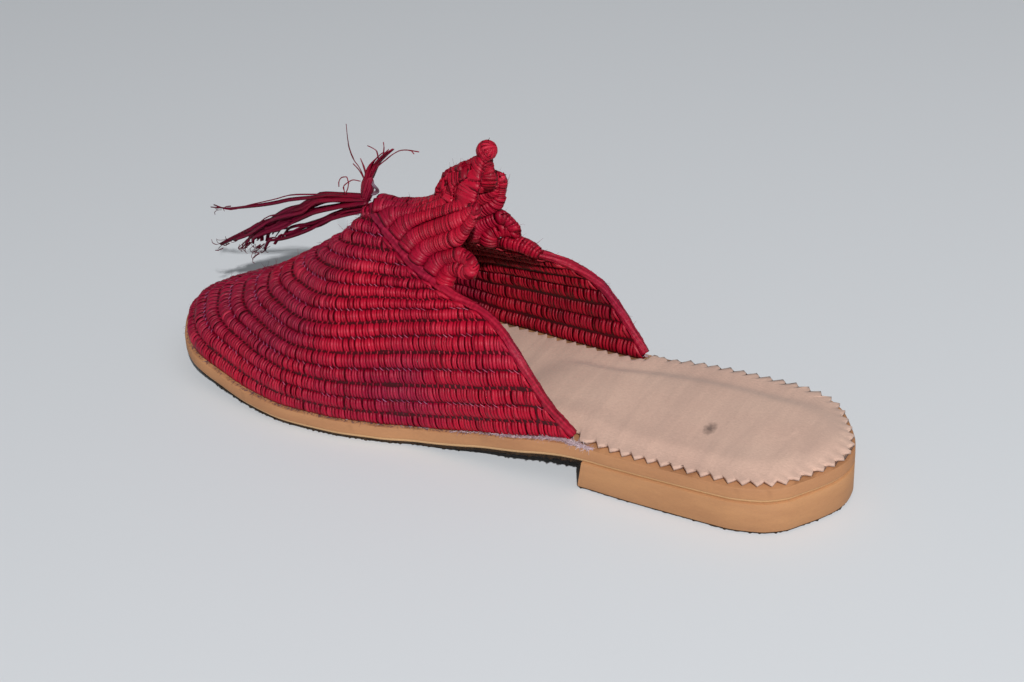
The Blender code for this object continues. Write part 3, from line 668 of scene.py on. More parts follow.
def square_shift(around, up, step=0.01):
    """How far a strip must move round for each share it climbs, to stay square to its row."""
    inside = np.clip(around, step, 1 - step)
    along = (wall(inside + step, up) - wall(inside - step, up)) / (2 * step)
    climb = (wall(inside, up + step) - wall(inside, up - step)) / (2 * step)
    return -np.sum(along * climb, axis=-1) / np.sum(along * along, axis=-1)


def strip_starts(row, pitch):
    """Where a row's strips start and how long a stitch is there, in shares of the way round."""
    stitches = row_places((row + 0.5) / ROWS, pitch)
    ends = np.arange(1, EXTRA_STITCHES + 1)
    first, last = stitches[1] - stitches[0], stitches[-1] - stitches[-2]
    before, after = stitches[0] - ends[::-1] * first, stitches[-1] + ends * last
    stitches = np.concatenate([before, stitches, after])
    gap = np.gradient(stitches)
    offsets = gap[:, None] * (np.arange(STRIPS_PER_STITCH) - 0.5) * STRIP_SPACING
    return (stitches[:, None] + offsets).ravel(), np.repeat(gap, STRIPS_PER_STITCH)


def wrap_row(strips, row, face, pitch, chance):
    """All strips of one row, on the outside (face 1) or the inside (face -1) of the wall."""
    starts, gap = strip_starts(row, pitch)
    count = len(starts)
    climb = np.linspace(0, 1, CLIMB_STEPS)
    arch = np.sin(pi * climb)
    lean = (STRIP_LEAN + chance.normal(0, 0.09, count))[:, None]
    sideways = lean * (climb - 0.5) + chance.normal(0, 0.05, count)[:, None]
    around = starts[:, None] + gap[:, None] * sideways
    shift = square_shift(starts, np.full(count, min((row + 0.5) / ROWS, 0.97)))
    around = around + shift[:, None] * (climb[None] - 0.5) / ROWS
    seen = ((around > -0.002) & (around < 1.002)).sum(axis=1) > 1
    around, count = around[seen], int(seen.sum())
    up = (row + climb[None] + 0 * around) / ROWS
    along, normal = wall_frame(around, up)
    normal = normal * OUTWARD * face
    bulge = arch ** 0.75 * (CREST + chance.normal(0, 0.07 * MM, count)[:, None])
    height = mix(valley_height(row), valley_height(row + 1), climb) + bulge - TUCK
    middle = wall(around, up) + normal * height[..., None]
    run = unit(np.gradient(middle, axis=1))
    side = unit(along - run * np.sum(along * run, axis=-1, keepdims=True))
    tilt = chance.normal(0, 0.20, count)[:, None, None]
    tilted = side * np.cos(tilt) + np.cross(run, side) * np.sin(tilt)
    width = STRIP_WIDTH * (pitch / STITCH) * (0.80 + 0.20 * arch)[None, :, None]
    width = width * chance.uniform(0.78, 1.12, count)[:, None, None]
    stitch_tone = chance.normal(0, 0.09, len(starts) // STRIPS_PER_STITCH)
    strip_tone = np.repeat(stitch_tone, STRIPS_PER_STITCH)[seen] + chance.normal(0, 0.06, count)
    # Painted shade and highlight: the tone rises towards the row's crest and falls towards the valleys.
    tone = 0.27 + strip_tone[:, None] + 0.28 * arch
    lift = np.cross(run, tilted) * STRIP_THICKNESS / 2
    strips.add(middle, tilted * width / 2, lift, tone, seed=row)


print(ROWS, "rows with a stitch every", round(STITCH / MM, 2), "mm")

# %% Wrap the outside of the upper
chance = np.random.default_rng(11)
outside = Strips()
for row in range(ROWS):
    wrap_row(outside, row, 1, STITCH, chance)
upper_outside = outside.piece("upper_rows_outside", RAFFIA_RED)

# %% Wrap the inside of the upper
INSIDE_STITCH = STITCH * 1.25
inside = Strips()
for row in range(ROWS):
    wrap_row(inside, row, -1, INSIDE_STITCH, chance)
# The inside rows wear the darker copy of the red raffia, as painted shade.
upper_inside = inside.piece("upper_rows_inside", RAFFIA_INSIDE_SHADED)

# %% [markdown]
# The wall from the frame stays behind the strips, in nearly black red as painted shade, and shows
# as the dark holes. Small strips cross the deep valleys at each stitch, and the pale slanting ones
# lie in the shallow valleys, which makes the dashed lines of the real weave.

# %% Strips across the valleys
VALLEY_STEPS = 4


def cross_valleys(strips, numbers, chance, width, reach, slant, height, tone, kept):
    """Short strips over the valleys; reach is in rows, slant in stitches along the valley."""
    climb = np.linspace(-1, 1, VALLEY_STEPS)
    taper = (1 - 0.45 * np.abs(climb))[None, :, None]
    for number in numbers:
        starts = row_places(number / ROWS, STITCH)
        gap = np.gradient(starts)[:, None]
        count = len(starts)
        offset = starts[:, None] + gap * chance.normal(0, 0.07, count)[:, None]
        around = offset + gap * slant * climb[None] / 2
        up = (number + climb[None] * reach / 2 + 0 * around) / ROWS
        along, normal = wall_frame(around, up)
        normal = normal * OUTWARD
        sag = height - 0.30 * MM * np.abs(climb)[None] ** 2
        over = sag + chance.normal(0, 0.06 * MM, count)[:, None]
        middle = wall(around, up) + normal * over[..., None]
        side = np.cross(unit(np.gradient(middle, axis=1)), normal)
        thin = width * taper * chance.uniform(0.7, 1.15, count)[:, None, None]
        keep = chance.random(count) < kept
        tones = tone + chance.normal(0, 0.14, count)
        lift = normal * 0.16 * MM
        strips.add(middle[keep], (side * thin / 2)[keep], lift[keep], tones[keep], seed=number)


valleys = Strips()
cross_valleys(
    valleys, range(1, ROWS, 2), chance,
    width=0.95 * MM, reach=0.40, slant=-0.20, height=1.02 * MM, tone=0.30, kept=0.93,
)
upper_valleys = valleys.piece("upper_valley_strips", RAFFIA_RED)
# The slanting strips are part of the weave; their pale lilac colour is partly painted glint.
dashes = Strips()
cross_valleys(
    dashes, range(2, ROWS, 2), chance,
    width=0.42 * MM, reach=0.26, slant=0.62, height=1.36 * MM, tone=0.42, kept=0.72,
)
upper_dashes = dashes.piece("upper_slanted_strips", RAFFIA_PALE_GLINT)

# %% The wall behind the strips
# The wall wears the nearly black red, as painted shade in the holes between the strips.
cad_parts["upper"].material_slots[0].material = RAFFIA_CORE_SHADE

# %% [markdown]
# Each collar edge is bound by a cord that runs on over the seam as a flatter band and stops at the
# peak in a mitre. It is swept along the wall's free edge: at each step a ring of points is placed
# in the edge's own frame, with a low twisted ripple like the plies of a real cord.

# %% The collar cords and seam bands
EDGE_STEP = 0.005
BINDING_WIDTH = 3.0 * MM
SEAM_BAND_WIDTH = 3.8 * MM
BINDING_THICKNESS = 3.1 * MM
CORD_STEPS = 220
CORD_SIDES = 16
CORD_PLIES = 6
PLY_RELIEF = 0.18 * MM
PLY_TURN = 14 * MM
CORD_START = 0.012


def edge_frame(up, side):
    """The wall's free edge: point, and the ways along it, out of the wall and away from it."""
    around = 0.0 if side < 0 else 1.0
    point = wall(around, up)
    along = unit(wall(around, up + EDGE_STEP) - wall(around, up - EDGE_STEP))
    inside = wall(around - side * EDGE_STEP, up) - point
    away = -unit(inside - along * np.sum(inside * along, axis=-1, keepdims=True))
    out = np.cross(along, away)
    return point, along, out * np.sign(out[..., :1] * side), away


def beside_edge(up, distance, side):
    """Points beside the free edge, out over the seam."""
    point, along, out, away = edge_frame(np.asarray(up, float), side)
    return point + away * distance


def crossing(distance, clear, side):
    """How far up the edge a line beside it comes within clear of the middle."""
    low, high = SEAM_START, 1 - EDGE_STEP
    for _ in range(30):
        middle = (low + high) / 2
        if beside_edge(middle, distance, side)[0] * side > clear:
            low = middle
        else:
            high = middle
    return low


def sweep_faces(steps, sides):
    """Quads of a tube of rings, with its two end faces."""
    index = np.arange(steps * sides).reshape(steps, sides)
    after = np.roll(index, -1, axis=1)
    quads = np.stack([index[:-1], after[:-1], after[1:], index[1:]], axis=-1).reshape(-1, 4)
    return quads.tolist() + [index[0, ::-1].tolist(), index[-1].tolist()]


def squared(value):
    """Push a circle's sine or cosine outward, for a rounded square."""
    return np.abs(value) ** 0.8 * np.sign(value)


def collar_cord(side, name):
    """The cord along one collar edge and the band over the seam."""
    end = crossing(SEAM_BAND_WIDTH + FIT_GAP, FIT_GAP, side)
    up = np.linspace(CORD_START, end, CORD_STEPS)
    point, along, out, away = edge_frame(up, side)
    width = mix(BINDING_WIDTH, SEAM_BAND_WIDTH, ease(up, 0.54, SEAM_START))
    run = lengths_along(point)
    turn = 2 * pi * (np.arange(CORD_SIDES) + 0.5) / CORD_SIDES
    twist = 2 * pi * run[:, None] / PLY_TURN * side
    ripple = PLY_RELIEF * np.cos(CORD_PLIES * turn[None] + twist)
    ripple = ripple + 0.05 * MM * np.random.default_rng(5).normal(size=(CORD_STEPS, 1))
    across = squared(np.cos(turn))[None] * (width[:, None] / 2 + ripple)
    thick = squared(np.sin(turn))[None] * (BINDING_THICKNESS / 2 + ripple)
    middle = point + away * (FIT_GAP / 2 + width / 2)[:, None]
    rings = middle[:, None] + away[:, None] * across[..., None] + out[:, None] * thick[..., None]
    crossed = rings[..., 0] * side < FIT_GAP / 3
    rings[..., 0] = np.where(crossed, side * FIT_GAP / 3, rings[..., 0])
    fibre = np.zeros(rings.shape)
    fibre[..., 0] = (turn / pi * 4)[None]
    fibre[..., 1] = (run / MM)[:, None]
    # Painted shade and highlight: the tone falls in the grooves between the plies and rises on their
    # crests.
    tone = 0.50 + 0.26 * ripple / PLY_RELIEF
    return make_piece(
        name, rings.reshape(-1, 3), sweep_faces(CORD_STEPS, CORD_SIDES), [RAFFIA_CORD],
        tone=tone.ravel(), fibre=fibre.reshape(-1, 3),
    )


cord_inner = collar_cord(-1, "collar_cord_inner_side")
cord_outer = collar_cord(1, "collar_cord_outer_side")
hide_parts("binding_inner_side")
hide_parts("binding_outer_side")

# %% [markdown]
# The tongue is cords too, each doubled back on itself. Three pairs make the spire, one inside the
# other, and each turns over the ridge at its own height, which gives the spire its steps. Two
# doubled cords make the lobes on each side. A cord here is a core, dark as painted shade where it
# shows between the strips, with a wrapping of strips, made by one function from a path, its half
# width and half thickness.


# %% The wrapped cord
def smooth_line(points, count):
    """Equal steps along a smooth curve through a few points."""
    points = np.asarray(points, float)
    lengths = lengths_along(points)
    places = np.linspace(0, lengths[-1], count)
    return np.stack([curve(lengths, column, places) for column in points.T], axis=1)


def soften(values, times=2):
    """Average each value with its neighbours a few times; the ends stay nearly put."""
    for _ in range(times):
        padded = np.concatenate([values[:1], values, values[-1:]])
        values = (padded[:-2] + 2 * padded[1:-1] + padded[2:]) / 4
    return values


WRAP_SIDES = 14
WRAP_LEAN = 0.42
WRAP_WIDTH = 1.55
CORE_SIDES = 10
CORE_INSET = 0.25 * MM


def wrapped_cord(
    strips, core, path, half_width, half_thick, normal, pitch, seed, tone=0.37, root=0.0
):
    """Wrap a cord along a path with strips, and add its core tube; root buries both ends."""
    path = np.array(path)
    path[0] -= unit(path[1] - path[0]) * root
    path[-1] -= unit(path[-2] - path[-1]) * root
    lengths = lengths_along(path)
    count = max(int(lengths[-1] / pitch), 3)
    chance = np.random.default_rng(seed)
    places = (np.arange(count) + 0.5) / count * lengths[-1]

    def read(values, at):
        values = np.asarray(values, float)
        if values.ndim == 1:
            return np.interp(at, lengths, values)
        return np.stack([np.interp(at, lengths, column) for column in values.T], axis=-1)

    run = unit(np.gradient(path, axis=0))
    bend = soften(np.linalg.norm(np.gradient(run, lengths, axis=0), axis=1), 3)
    turn = np.linspace(0, 2 * pi, WRAP_SIDES + 1)
    lean = WRAP_LEAN * pitch * np.sin(turn)[None]
    at = places[:, None] + lean + chance.normal(0, 0.10 * pitch, count)[:, None]
    centre, along = read(path, at), unit(read(run, at))
    up = read(normal, at)
    up = unit(up - along * np.sum(up * along, axis=-1, keepdims=True))
    side = np.cross(along, up)
    wide, thick = read(half_width, at), read(half_thick, at)
    swell = 1 + chance.normal(0, 0.025, count)[:, None]
    across = (np.cos(turn)[None] * wide * swell)[..., None]
    over = (np.sin(turn)[None] * thick * swell)[..., None]
    middle = centre + side * across + up * over
    outward = unit(side * across / wide[..., None] ** 2 + up * over / thick[..., None] ** 2)
    strip_run = unit(np.gradient(middle, axis=1))
    strip_side = unit(np.cross(outward, strip_run))
    opened = 1 + np.clip(read(bend, at) * wide, 0, 1.3)
    width = pitch * WRAP_WIDTH * chance.uniform(0.85, 1.1, count)[:, None, None]
    width = width / 2 * opened[..., None]
    tones = tone + chance.normal(0, 0.16, count)[:, None]
    # Painted shade: strips on the cord's narrow edges, where it meets its neighbours, get a lower tone
    # than those on its broad faces.
    tones = tones + 0.18 * np.abs(np.sin(turn))[None] - 0.12
    strips.add(middle, strip_side * width, outward * 0.17 * MM, tones, seed=seed)

    steps = len(path)
    up = unit(normal - run * np.sum(normal * run, axis=-1, keepdims=True))
    side = np.cross(run, up)
    corner = np.linspace(0, 2 * pi, CORE_SIDES, endpoint=False)
    wide = np.cos(corner)[None] * np.maximum(half_width - CORE_INSET, CORE_INSET)[:, None]
    thick = np.sin(corner)[None] * np.maximum(half_thick - CORE_INSET, CORE_INSET)[:, None]
    rings = path[:, None] + side[:, None] * wide[..., None] + up[:, None] * thick[..., None]
    core.append((rings.reshape(-1, 3), sweep_faces(steps, CORE_SIDES)))


# %% The tongue's folds, as in the frame
SEAM_CLEARANCE = 1.1 * MM
TONGUE_REACH = 48 * MM
TONGUE_RISE = 32.5 * MM
TONGUE_SPREAD = 19 * MM
SEAM_LEAD = 2.5 * MM
TONGUE_ROWS = 7
SPIRE_ROWS = 3
LOBE_ROWS = 2
SPIRE_RIDGE = table(
    "out back up",
    (0.00, 0.323, 0.105),
    (0.00, 0.520, 0.245),
    (0.00, 0.625, 0.420),
    (0.00, 0.665, 0.590),
    (0.00, 0.790, 0.720),
    (0.00, 0.880, 0.810),
    (0.00, 1.015, 0.960),
)
SPIRE_EDGE = table("out back up", (0.33, 1.060, 0.660), (0.17, 1.050, 0.860), (0.13, 1.030, 0.950))
SLOTS = table("out back up", (0.50, 0.925, 0.400), (0.77, 0.930, 0.040))
LOBE_TIPS = table(
    "out back up",
    (0.520, 1.000, 0.500),
    (0.680, 1.060, 0.360),
    (0.800, 1.020, 0.020),
    (0.970, 1.020, -0.270),
)


def fold_points(rows, side):
    """Points on one side from a table of shares of the tongue's spread, reach and rise."""
    out = np.array(rows["out"]) * TONGUE_SPREAD * side
    back = PEAK[1] - np.array(rows["back"]) * TONGUE_REACH
    up = PEAK[2] + np.array(rows["up"]) * TONGUE_RISE
    return np.stack([out, back, up], axis=1)


SEAM_DISTANCE = SEAM_BAND_WIDTH + FIT_GAP + SEAM_CLEARANCE
SEAM_TOPS = {side: crossing(SEAM_DISTANCE, 0.0, side) for side in (-1, 1)}


def seam_base(row, side, lead=0.0):
    """Where a row of the tongue leaves the seam; rows count from the peak to the collar."""
    up = mix(SEAM_TOPS[side], SEAM_START, np.asarray(row, float) / TONGUE_ROWS)
    return beside_edge(up, SEAM_DISTANCE + lead, side)


def fold_line(row, side, points, count):
    """A fold from the seam through a few points."""
    start = np.stack([seam_base(row, side), seam_base(row, side, SEAM_LEAD)])
    return smooth_line(np.concatenate([start, points]), count)


SHARED, FREE, LOBE_SHARED, HIGH_LOBE, LOW_LOBE = 32, 64, 24, 24, 16
OUTER_LOBE_SHIFT = np.array([-1.2, 2.2, 1.6]) * MM
OUTER_LOW_SHIFT = np.array([-1.0, 1.5, -1.6]) * MM


def folds(side):
    """The lines between the tongue's folds on one side."""
    slots, tips, edge = (fold_points(rows, side) for rows in (SLOTS, LOBE_TIPS, SPIRE_EDGE))
    if side > 0:
        tips[:2] += OUTER_LOBE_SHIFT
        tips[2:] += OUTER_LOW_SHIFT
    upper = fold_line(SPIRE_ROWS, side, slots[:1], SHARED + 1)
    lower = fold_line(SPIRE_ROWS + LOBE_ROWS, side, slots[1:2], LOBE_SHARED + 1)
    high_steps = SHARED + HIGH_LOBE - LOBE_SHARED

    def onward(line, slot, ends, steps):
        return np.concatenate([line, smooth_line(np.stack([slot, *ends]), steps + 1)[1:]])

    return {
        "spire_edge": onward(upper, slots[0], edge, FREE),
        "high_inner": onward(upper, slots[0], tips[:1], HIGH_LOBE),
        "high_outer": onward(lower, slots[1], tips[1:2], high_steps),
        "low_inner": onward(lower, slots[1], tips[2:3], LOW_LOBE),
        "low_outer": fold_line(TONGUE_ROWS, side, tips[3:4], LOBE_SHARED + LOW_LOBE + 1),
    }


def panel_line(inner, outer, share, first_row, rows, side, arched=False):
    """A line on a panel between two folds, at a share that may change along it."""
    share = np.broadcast_to(share, len(inner))[:, None]

    def across(start, end, part):
        point = mix(start, end, part)
        if arched:
            point = start + (end - start) * np.concatenate([part, part ** 2, part ** 2], axis=-1)
        return point

    line = across(inner, outer, share)
    base = across(inner[:1], outer[:1], share)
    seat = seam_base(first_row + share[:, 0] * rows, side)
    fade = np.clip(1 - np.arange(len(inner)) / LOBE_SHARED, 0, 1)[:, None] ** 2
    return line + (seat - base) * fade


FOLDS = {side: folds(side) for side in (-1, 1)}
APEX = (seam_base(0, -1) + seam_base(0, 1)) / 2
RIDGE = smooth_line(np.concatenate([APEX[None], fold_points(SPIRE_RIDGE, 1)]), SHARED + FREE + 1)
print("tongue ridge from", (RIDGE[0] / MM).round(1), "to", (RIDGE[-1] / MM).round(1))

# %% [markdown]
# A spire row starts between its folds at the seam, keeps its place beside the ridge, and swings
# over the ridge where its pair turns round. Its width is the distance to its neighbours, square to
# its own way, so the rows close up as the spire narrows.

# %% Wrap the spire
CORD_PITCH = 1.12 * MM
SEAM_ROOT = 1.8 * MM
ROW_ENDS = (0.62, 0.80, 1.0)
SPIRE_SINK = 1.9 * MM
SPIRE_CREST = np.array([0.0, 0.6, 0.8])
tongue_strips = Strips()
tongue_core = []


def turned(row, progress, before, after):
    """0 to 1 while a spire row turns over the ridge and leaves its place to its neighbours."""
    return ease(progress, ROW_ENDS[row] - before, ROW_ENDS[row] + after)


def spire_share(row, progress):
    """Where a spire row lies between the ridge and the spire's edge."""
    share = mix((row + 0.5) / 3, max(row - 0.5, 0.1) / 2, turned(0, progress, 0.16, 0.02))
    return mix(share, 0.5, turned(1, progress, 0.12, 0.02)) if row == 2 else share


def spire_half(row, side):
    """One leg of a spire row, its normal, and the spire's edge and ridge beside it."""
    progress = np.linspace(0, 1, len(RIDGE))
    edge = FOLDS[side]["spire_edge"]
    share = spire_share(row, progress)
    line, near, far = (
        panel_line(RIDGE, edge, part, 0, SPIRE_ROWS, side, True)
        for part in (share, share * 0.9, np.minimum(share * 1.1, 1))
    )
    sink = SPIRE_SINK * ease(progress, 0.28, 0.52) * (1 - 0.7 * ease(progress, 0.84, 1.0))
    line = line - SPIRE_CREST * sink[:, None]
    line = mix(line, soften(line, 30), ease(progress, 0.06, 0.20)[:, None])
    normal = unit(np.cross(unit(np.gradient(line, axis=0)), far - near)) * side
    normal = normal * np.sign(normal[:, 0:1] * side)
    last = int(ROW_ENDS[row] * (len(RIDGE) - 1))
    return line[: last + 1], normal[: last + 1], edge[: last + 1], RIDGE[: last + 1]


TURN_POINTS = 7


def turned_path(first, second, bulge):
    """Two legs joined by a round turn, whose top stands out by bulge."""
    gap = second[-1] - first[-1]
    ahead = unit(first[-1] - first[-4])
    angle = np.linspace(0, pi, TURN_POINTS + 2)[1:-1, None]
    middle = (first[-1] + second[-1]) / 2
    arc = middle - gap / 2 * np.cos(angle) + ahead * bulge * np.sin(angle)
    return np.concatenate([first, arc, second[::-1]])


SPIRE_TURN = unit(np.array([0.0, 0.65, 0.75]))
SPIRE_HALF_WIDTHS = (1.75 * MM, 4.7 * MM)
for row in range(SPIRE_ROWS):
    legs, normals, widths = [], [], []
    for side in (-1, 1):
        line, normal, edge, ridge = spire_half(row, side)
        legs.append(line)
        normals.append(normal)
        progress = np.linspace(0, ROW_ENDS[row], len(line))
        beside = SPIRE_ROWS - turned(0, progress, 0.16, 0.02) - turned(1, progress, 0.12, 0)
        across = np.cross(unit(np.gradient(line, axis=0)), edge - ridge)
        reach = np.linalg.norm(across, axis=1)
        kept = mix(0.64, 0.46, turned(1, progress, 0.01, 0.08))
        widths.append(soften(np.clip(reach / beside * kept, *SPIRE_HALF_WIDTHS), 8))
    crest = np.broadcast_to(SPIRE_TURN, (TURN_POINTS, 3))
    held = np.full(TURN_POINTS, widths[0][-1])
    path = soften(turned_path(legs[0], legs[1], 0.2 * MM), 2)
    normal = soften(np.concatenate([normals[0], crest, normals[1][::-1]]), 6)
    half = soften(np.concatenate([widths[0], held, widths[1][::-1]]), 4)
    thick = np.minimum(half * 0.70, 1.75 * MM)
    wrapped_cord(
        tongue_strips, tongue_core, path, half, thick, normal, CORD_PITCH, 40 + row, root=SEAM_ROOT
    )
print("spire has", len(tongue_core), "doubled cords")


# %% Wrap the lobes
def there_and_back(values):
    """Values along one leg, held round the turn and read back along the other."""
    return np.concatenate([values, np.repeat(values[-1:], TURN_POINTS, axis=0), values[::-1]])


LOBES = (
    {"folds": ("high_inner", "high_outer"), "row": 3, "cut": 4, "seed": 60},
    {"folds": ("low_inner", "low_outer"), "row": 5, "cut": 5, "seed": 70},
)
for side in (-1, 1):
    for lobe in LOBES:
        cut = lobe["cut"]
        pair = [FOLDS[side][name] for name in lobe["folds"]]
        near, far = (panel_line(*pair, share, lobe["row"], LOBE_ROWS, side) for share in (0.27, 0.73))
        bulge = 0.5 * np.linalg.norm(near[-cut] - far[-cut]) + 0.6 * MM
        path = soften(turned_path(near[:-cut], far[:-cut], bulge), 2)
        across = np.cross(unit(np.gradient(near, axis=0)), far - near)
        square = np.linalg.norm(across, axis=1)[:-cut]
        half = np.clip(there_and_back(square) * 0.56, 1.8 * MM, 3.5 * MM)
        normal = unit(across)
        normal = soften(there_and_back((normal * np.sign(normal[:, :1] * side))[:-cut]), 4)
        wrapped_cord(
            tongue_strips, tongue_core, path, half, half * 0.76, normal,
            CORD_PITCH, lobe["seed"] + side, root=SEAM_ROOT,
        )
print("tongue has", len(tongue_core), "doubled cords")

# %% The knob
KNOB_RADIUS = 3.35 * MM
KNOB_PITCH = 0.62 * MM
KNOB_STRIPS = 6
knob_run = unit(RIDGE[-1] - RIDGE[-12])
knob_place = np.linspace(-0.985, 0.985, 17)
knob_path = RIDGE[-1] + knob_run * (knob_place * KNOB_RADIUS)[:, None]
knob_half = KNOB_RADIUS * np.sqrt(1 - knob_place ** 2)
knob_normal = np.broadcast_to(np.array([0.0, 0.6, 0.8]), knob_path.shape)
wrapped_cord(
    tongue_strips, tongue_core, knob_path, knob_half, knob_half, knob_normal, KNOB_PITCH, 90, 0.56
)
knob_side = unit(np.cross(knob_run, np.array([1.0, 0.0, 0.0])))
knob_arc = np.linspace(-1.35, 1.35, 11)[:, None]
for number in range(KNOB_STRIPS):
    turn = pi * number / KNOB_STRIPS
    across = np.array([np.cos(turn), 0.0, 0.0]) + knob_side * np.sin(turn)
    outward = knob_run * np.cos(knob_arc) + across * np.sin(knob_arc)
    side = np.broadcast_to(np.cross(knob_run, across), outward.shape) * 0.75 * MM
    arc = RIDGE[-1] + outward * (KNOB_RADIUS + 0.15 * MM * number / KNOB_STRIPS)
    lift = outward * 0.2 * MM
    tone = 0.5 + 0.05 * number
    tongue_strips.add(arc[None], side[None], lift[None], [tone], seed=110 + number)
print("knob", round(2 * KNOB_RADIUS / MM, 1), "mm across")

# %% The small extra lobe on the outer side
EXTRA_LOBE_ROW = 7.3
EXTRA_LOBE_TIP = PEAK + np.array([18.4, -57.1, -15.5]) * MM
EXTRA_LOBE_HALF = 3.2 * MM
EXTRA_LOBE_STEPS = 20
extra_start = seam_base(EXTRA_LOBE_ROW, 1)
extra_middle = mix(extra_start, EXTRA_LOBE_TIP, 0.5) + np.array([0, 0, 0.8 * MM])
extra_path = smooth_line(np.stack([extra_start, extra_middle, EXTRA_LOBE_TIP]), EXTRA_LOBE_STEPS)
rounding = (np.linspace(0, 1, EXTRA_LOBE_STEPS) * 1.05 - 0.10).clip(0, 1) ** 6
extra_half = EXTRA_LOBE_HALF * np.sqrt(np.clip(1 - rounding, 0.05, 1))
extra_normal = np.broadcast_to(unit(np.array([0.8, 0.0, 0.6])), extra_path.shape)
wrapped_cord(
    tongue_strips, tongue_core, extra_path, extra_half, extra_half * 0.85, extra_normal,
    CORD_PITCH, 95,
)
print("extra lobe", round(lengths_along(extra_path)[-1] / MM, 1), "mm long")

# %% Join the tongue's strips and its cores
tongue_wrap = tongue_strips.piece("tongue_wrapping", RAFFIA_RED)
core_faces, offset = [], 0
for points, faces in tongue_core:
    core_faces += [[index + offset for index in face] for face in faces]
    offset += len(points)
core_points = np.concatenate([points for points, faces in tongue_core])
# The cores wear the darker copy of the red raffia, as painted shade where they show between the strips.
tongue_inner = make_piece("tongue_core", core_points, core_faces, [RAFFIA_INSIDE_SHADED])
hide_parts("tongue")

# %% [markdown]
# The tassel is a knot on the peak with two dozen long strips lying towards the toe. Its strips
# follow four main ways, read from the photograph and kept as shares of the tassel's length and
# drop, and each spreads a little by chance. Above the knot stand the short cut ends, each with a
# width and a few points, in millimetres from the peak.

# %% Sizes of the tassel
TASSEL_LENGTH = 70 * MM
KNOT = PEAK + np.array([0.0, 0.3 * MM, 6.9 * MM])
WAYS = {
    "long thin strip": table(
        "ahead rise",
        (0.00, -0.03), (0.20, -0.06), (0.34, -0.10), (0.47, -0.14),
        (0.58, -0.18), (0.74, -0.24), (0.91, -0.29), (1.00, -0.31),
    ),
    "top bundle": table(
        "ahead rise",
        (0.00, -0.04), (0.19, -0.08), (0.34, -0.12), (0.46, -0.20), (0.59, -0.28),
        (0.70, -0.34), (0.77, -0.40), (0.86, -0.45), (0.98, -0.53),
    ),
    "middle bundle": table(
        "ahead rise",
        (0.00, -0.06), (0.19, -0.13), (0.35, -0.19), (0.51, -0.28),
        (0.63, -0.35), (0.74, -0.43), (0.81, -0.47), (0.83, -0.52),
    ),
    "low bundle": table(
        "ahead rise",
        (0.00, -0.11), (0.16, -0.17), (0.28, -0.23), (0.40, -0.30),
        (0.52, -0.37), (0.64, -0.43), (0.71, -0.46), (0.75, -0.52),
    ),
}
STRIP_POINTS = 26


def tassel_strip(
    strips, points, width, seed, chance, thickness=0.22 * MM, roll=0.6, tone=0.5, narrow=0.55
):
    """One loose strip of raffia along a smooth path, which rolls a little on its way."""
    path = smooth_line(points, STRIP_POINTS)
    share = np.linspace(0, 1, STRIP_POINTS)
    run = unit(np.gradient(path, axis=0))
    side = unit(np.cross(run, np.array([0.25, 0.1, 1.0])))
    lift = np.cross(side, run)
    angle = (chance.normal(0, 0.6) + roll * chance.normal() * share)[:, None]
    rolled = side * np.cos(angle) + lift * np.sin(angle)
    raised = np.cross(rolled, run)
    wide = (width / 2 * (1 - (1 - narrow) * share ** 2))[:, None]
    tones = [tone + chance.normal(0, 0.1)]
    strips.add(path[None], (rolled * wide)[None], (raised * thickness)[None], tones, seed=seed)


# %% Lay the long strips
chance = np.random.default_rng(23)
tassel = Strips()
TASSEL_ROOT = PEAK + np.array([0.0, 0.5 * MM, 5.4 * MM])
BUNDLES = {
    "long thin strip": {"strips": 2, "width": 1.5, "spread": 0.4},
    "top bundle": {"strips": 8, "width": 2.9, "spread": 1.1},
    "middle bundle": {"strips": 8, "width": 2.9, "spread": 1.1},
    "low bundle": {"strips": 6, "width": 2.4, "spread": 0.9},
}
seed = 200
for name, bundle in BUNDLES.items():
    ways = [np.array(WAYS[name][column]) for column in ("ahead", "rise")]
    base = np.stack([np.zeros(len(ways[0])), *ways], axis=1) * TASSEL_LENGTH
    share = np.linspace(0, 1, len(base))
    fan = np.sin(np.minimum(share * 1.25, 1) * pi / 2)[:, None]
    free = np.minimum(share * 3, 1)[:, None]
    for number in range(bundle["strips"]):
        seed += 1
        swing = chance.normal(0, bundle["spread"], 3) * MM * np.array([1.6, 0.3, 0.75])
        wave = chance.normal(0, 0.5 * MM, (len(base), 3))
        reach = 1 - 0.16 * abs(chance.normal(0, 0.8)) if "bundle" in name else 1.0
        points = TASSEL_ROOT + base * np.array([1, reach, reach]) + swing * fan + wave * free
        beside = number / max(bundle["strips"] - 1, 1) - 0.5
        points[:, 0] += beside * 2.0 * MM + 1.2 * MM * share
        width = bundle["width"] * MM * chance.uniform(0.6, 1.15)
        tassel_strip(tassel, points, width, seed, chance, roll=0.9, tone=0.42)
print(sum(bundle["strips"] for bundle in BUNDLES.values()), "long strips")


# %% Frayed ends and curls
def way_point(way, index):
    """A point on a bundle's main way."""
    ahead, rise = way["ahead"][index], way["rise"][index]
    return TASSEL_ROOT + np.array([1 * MM, ahead * TASSEL_LENGTH, rise * TASSEL_LENGTH])


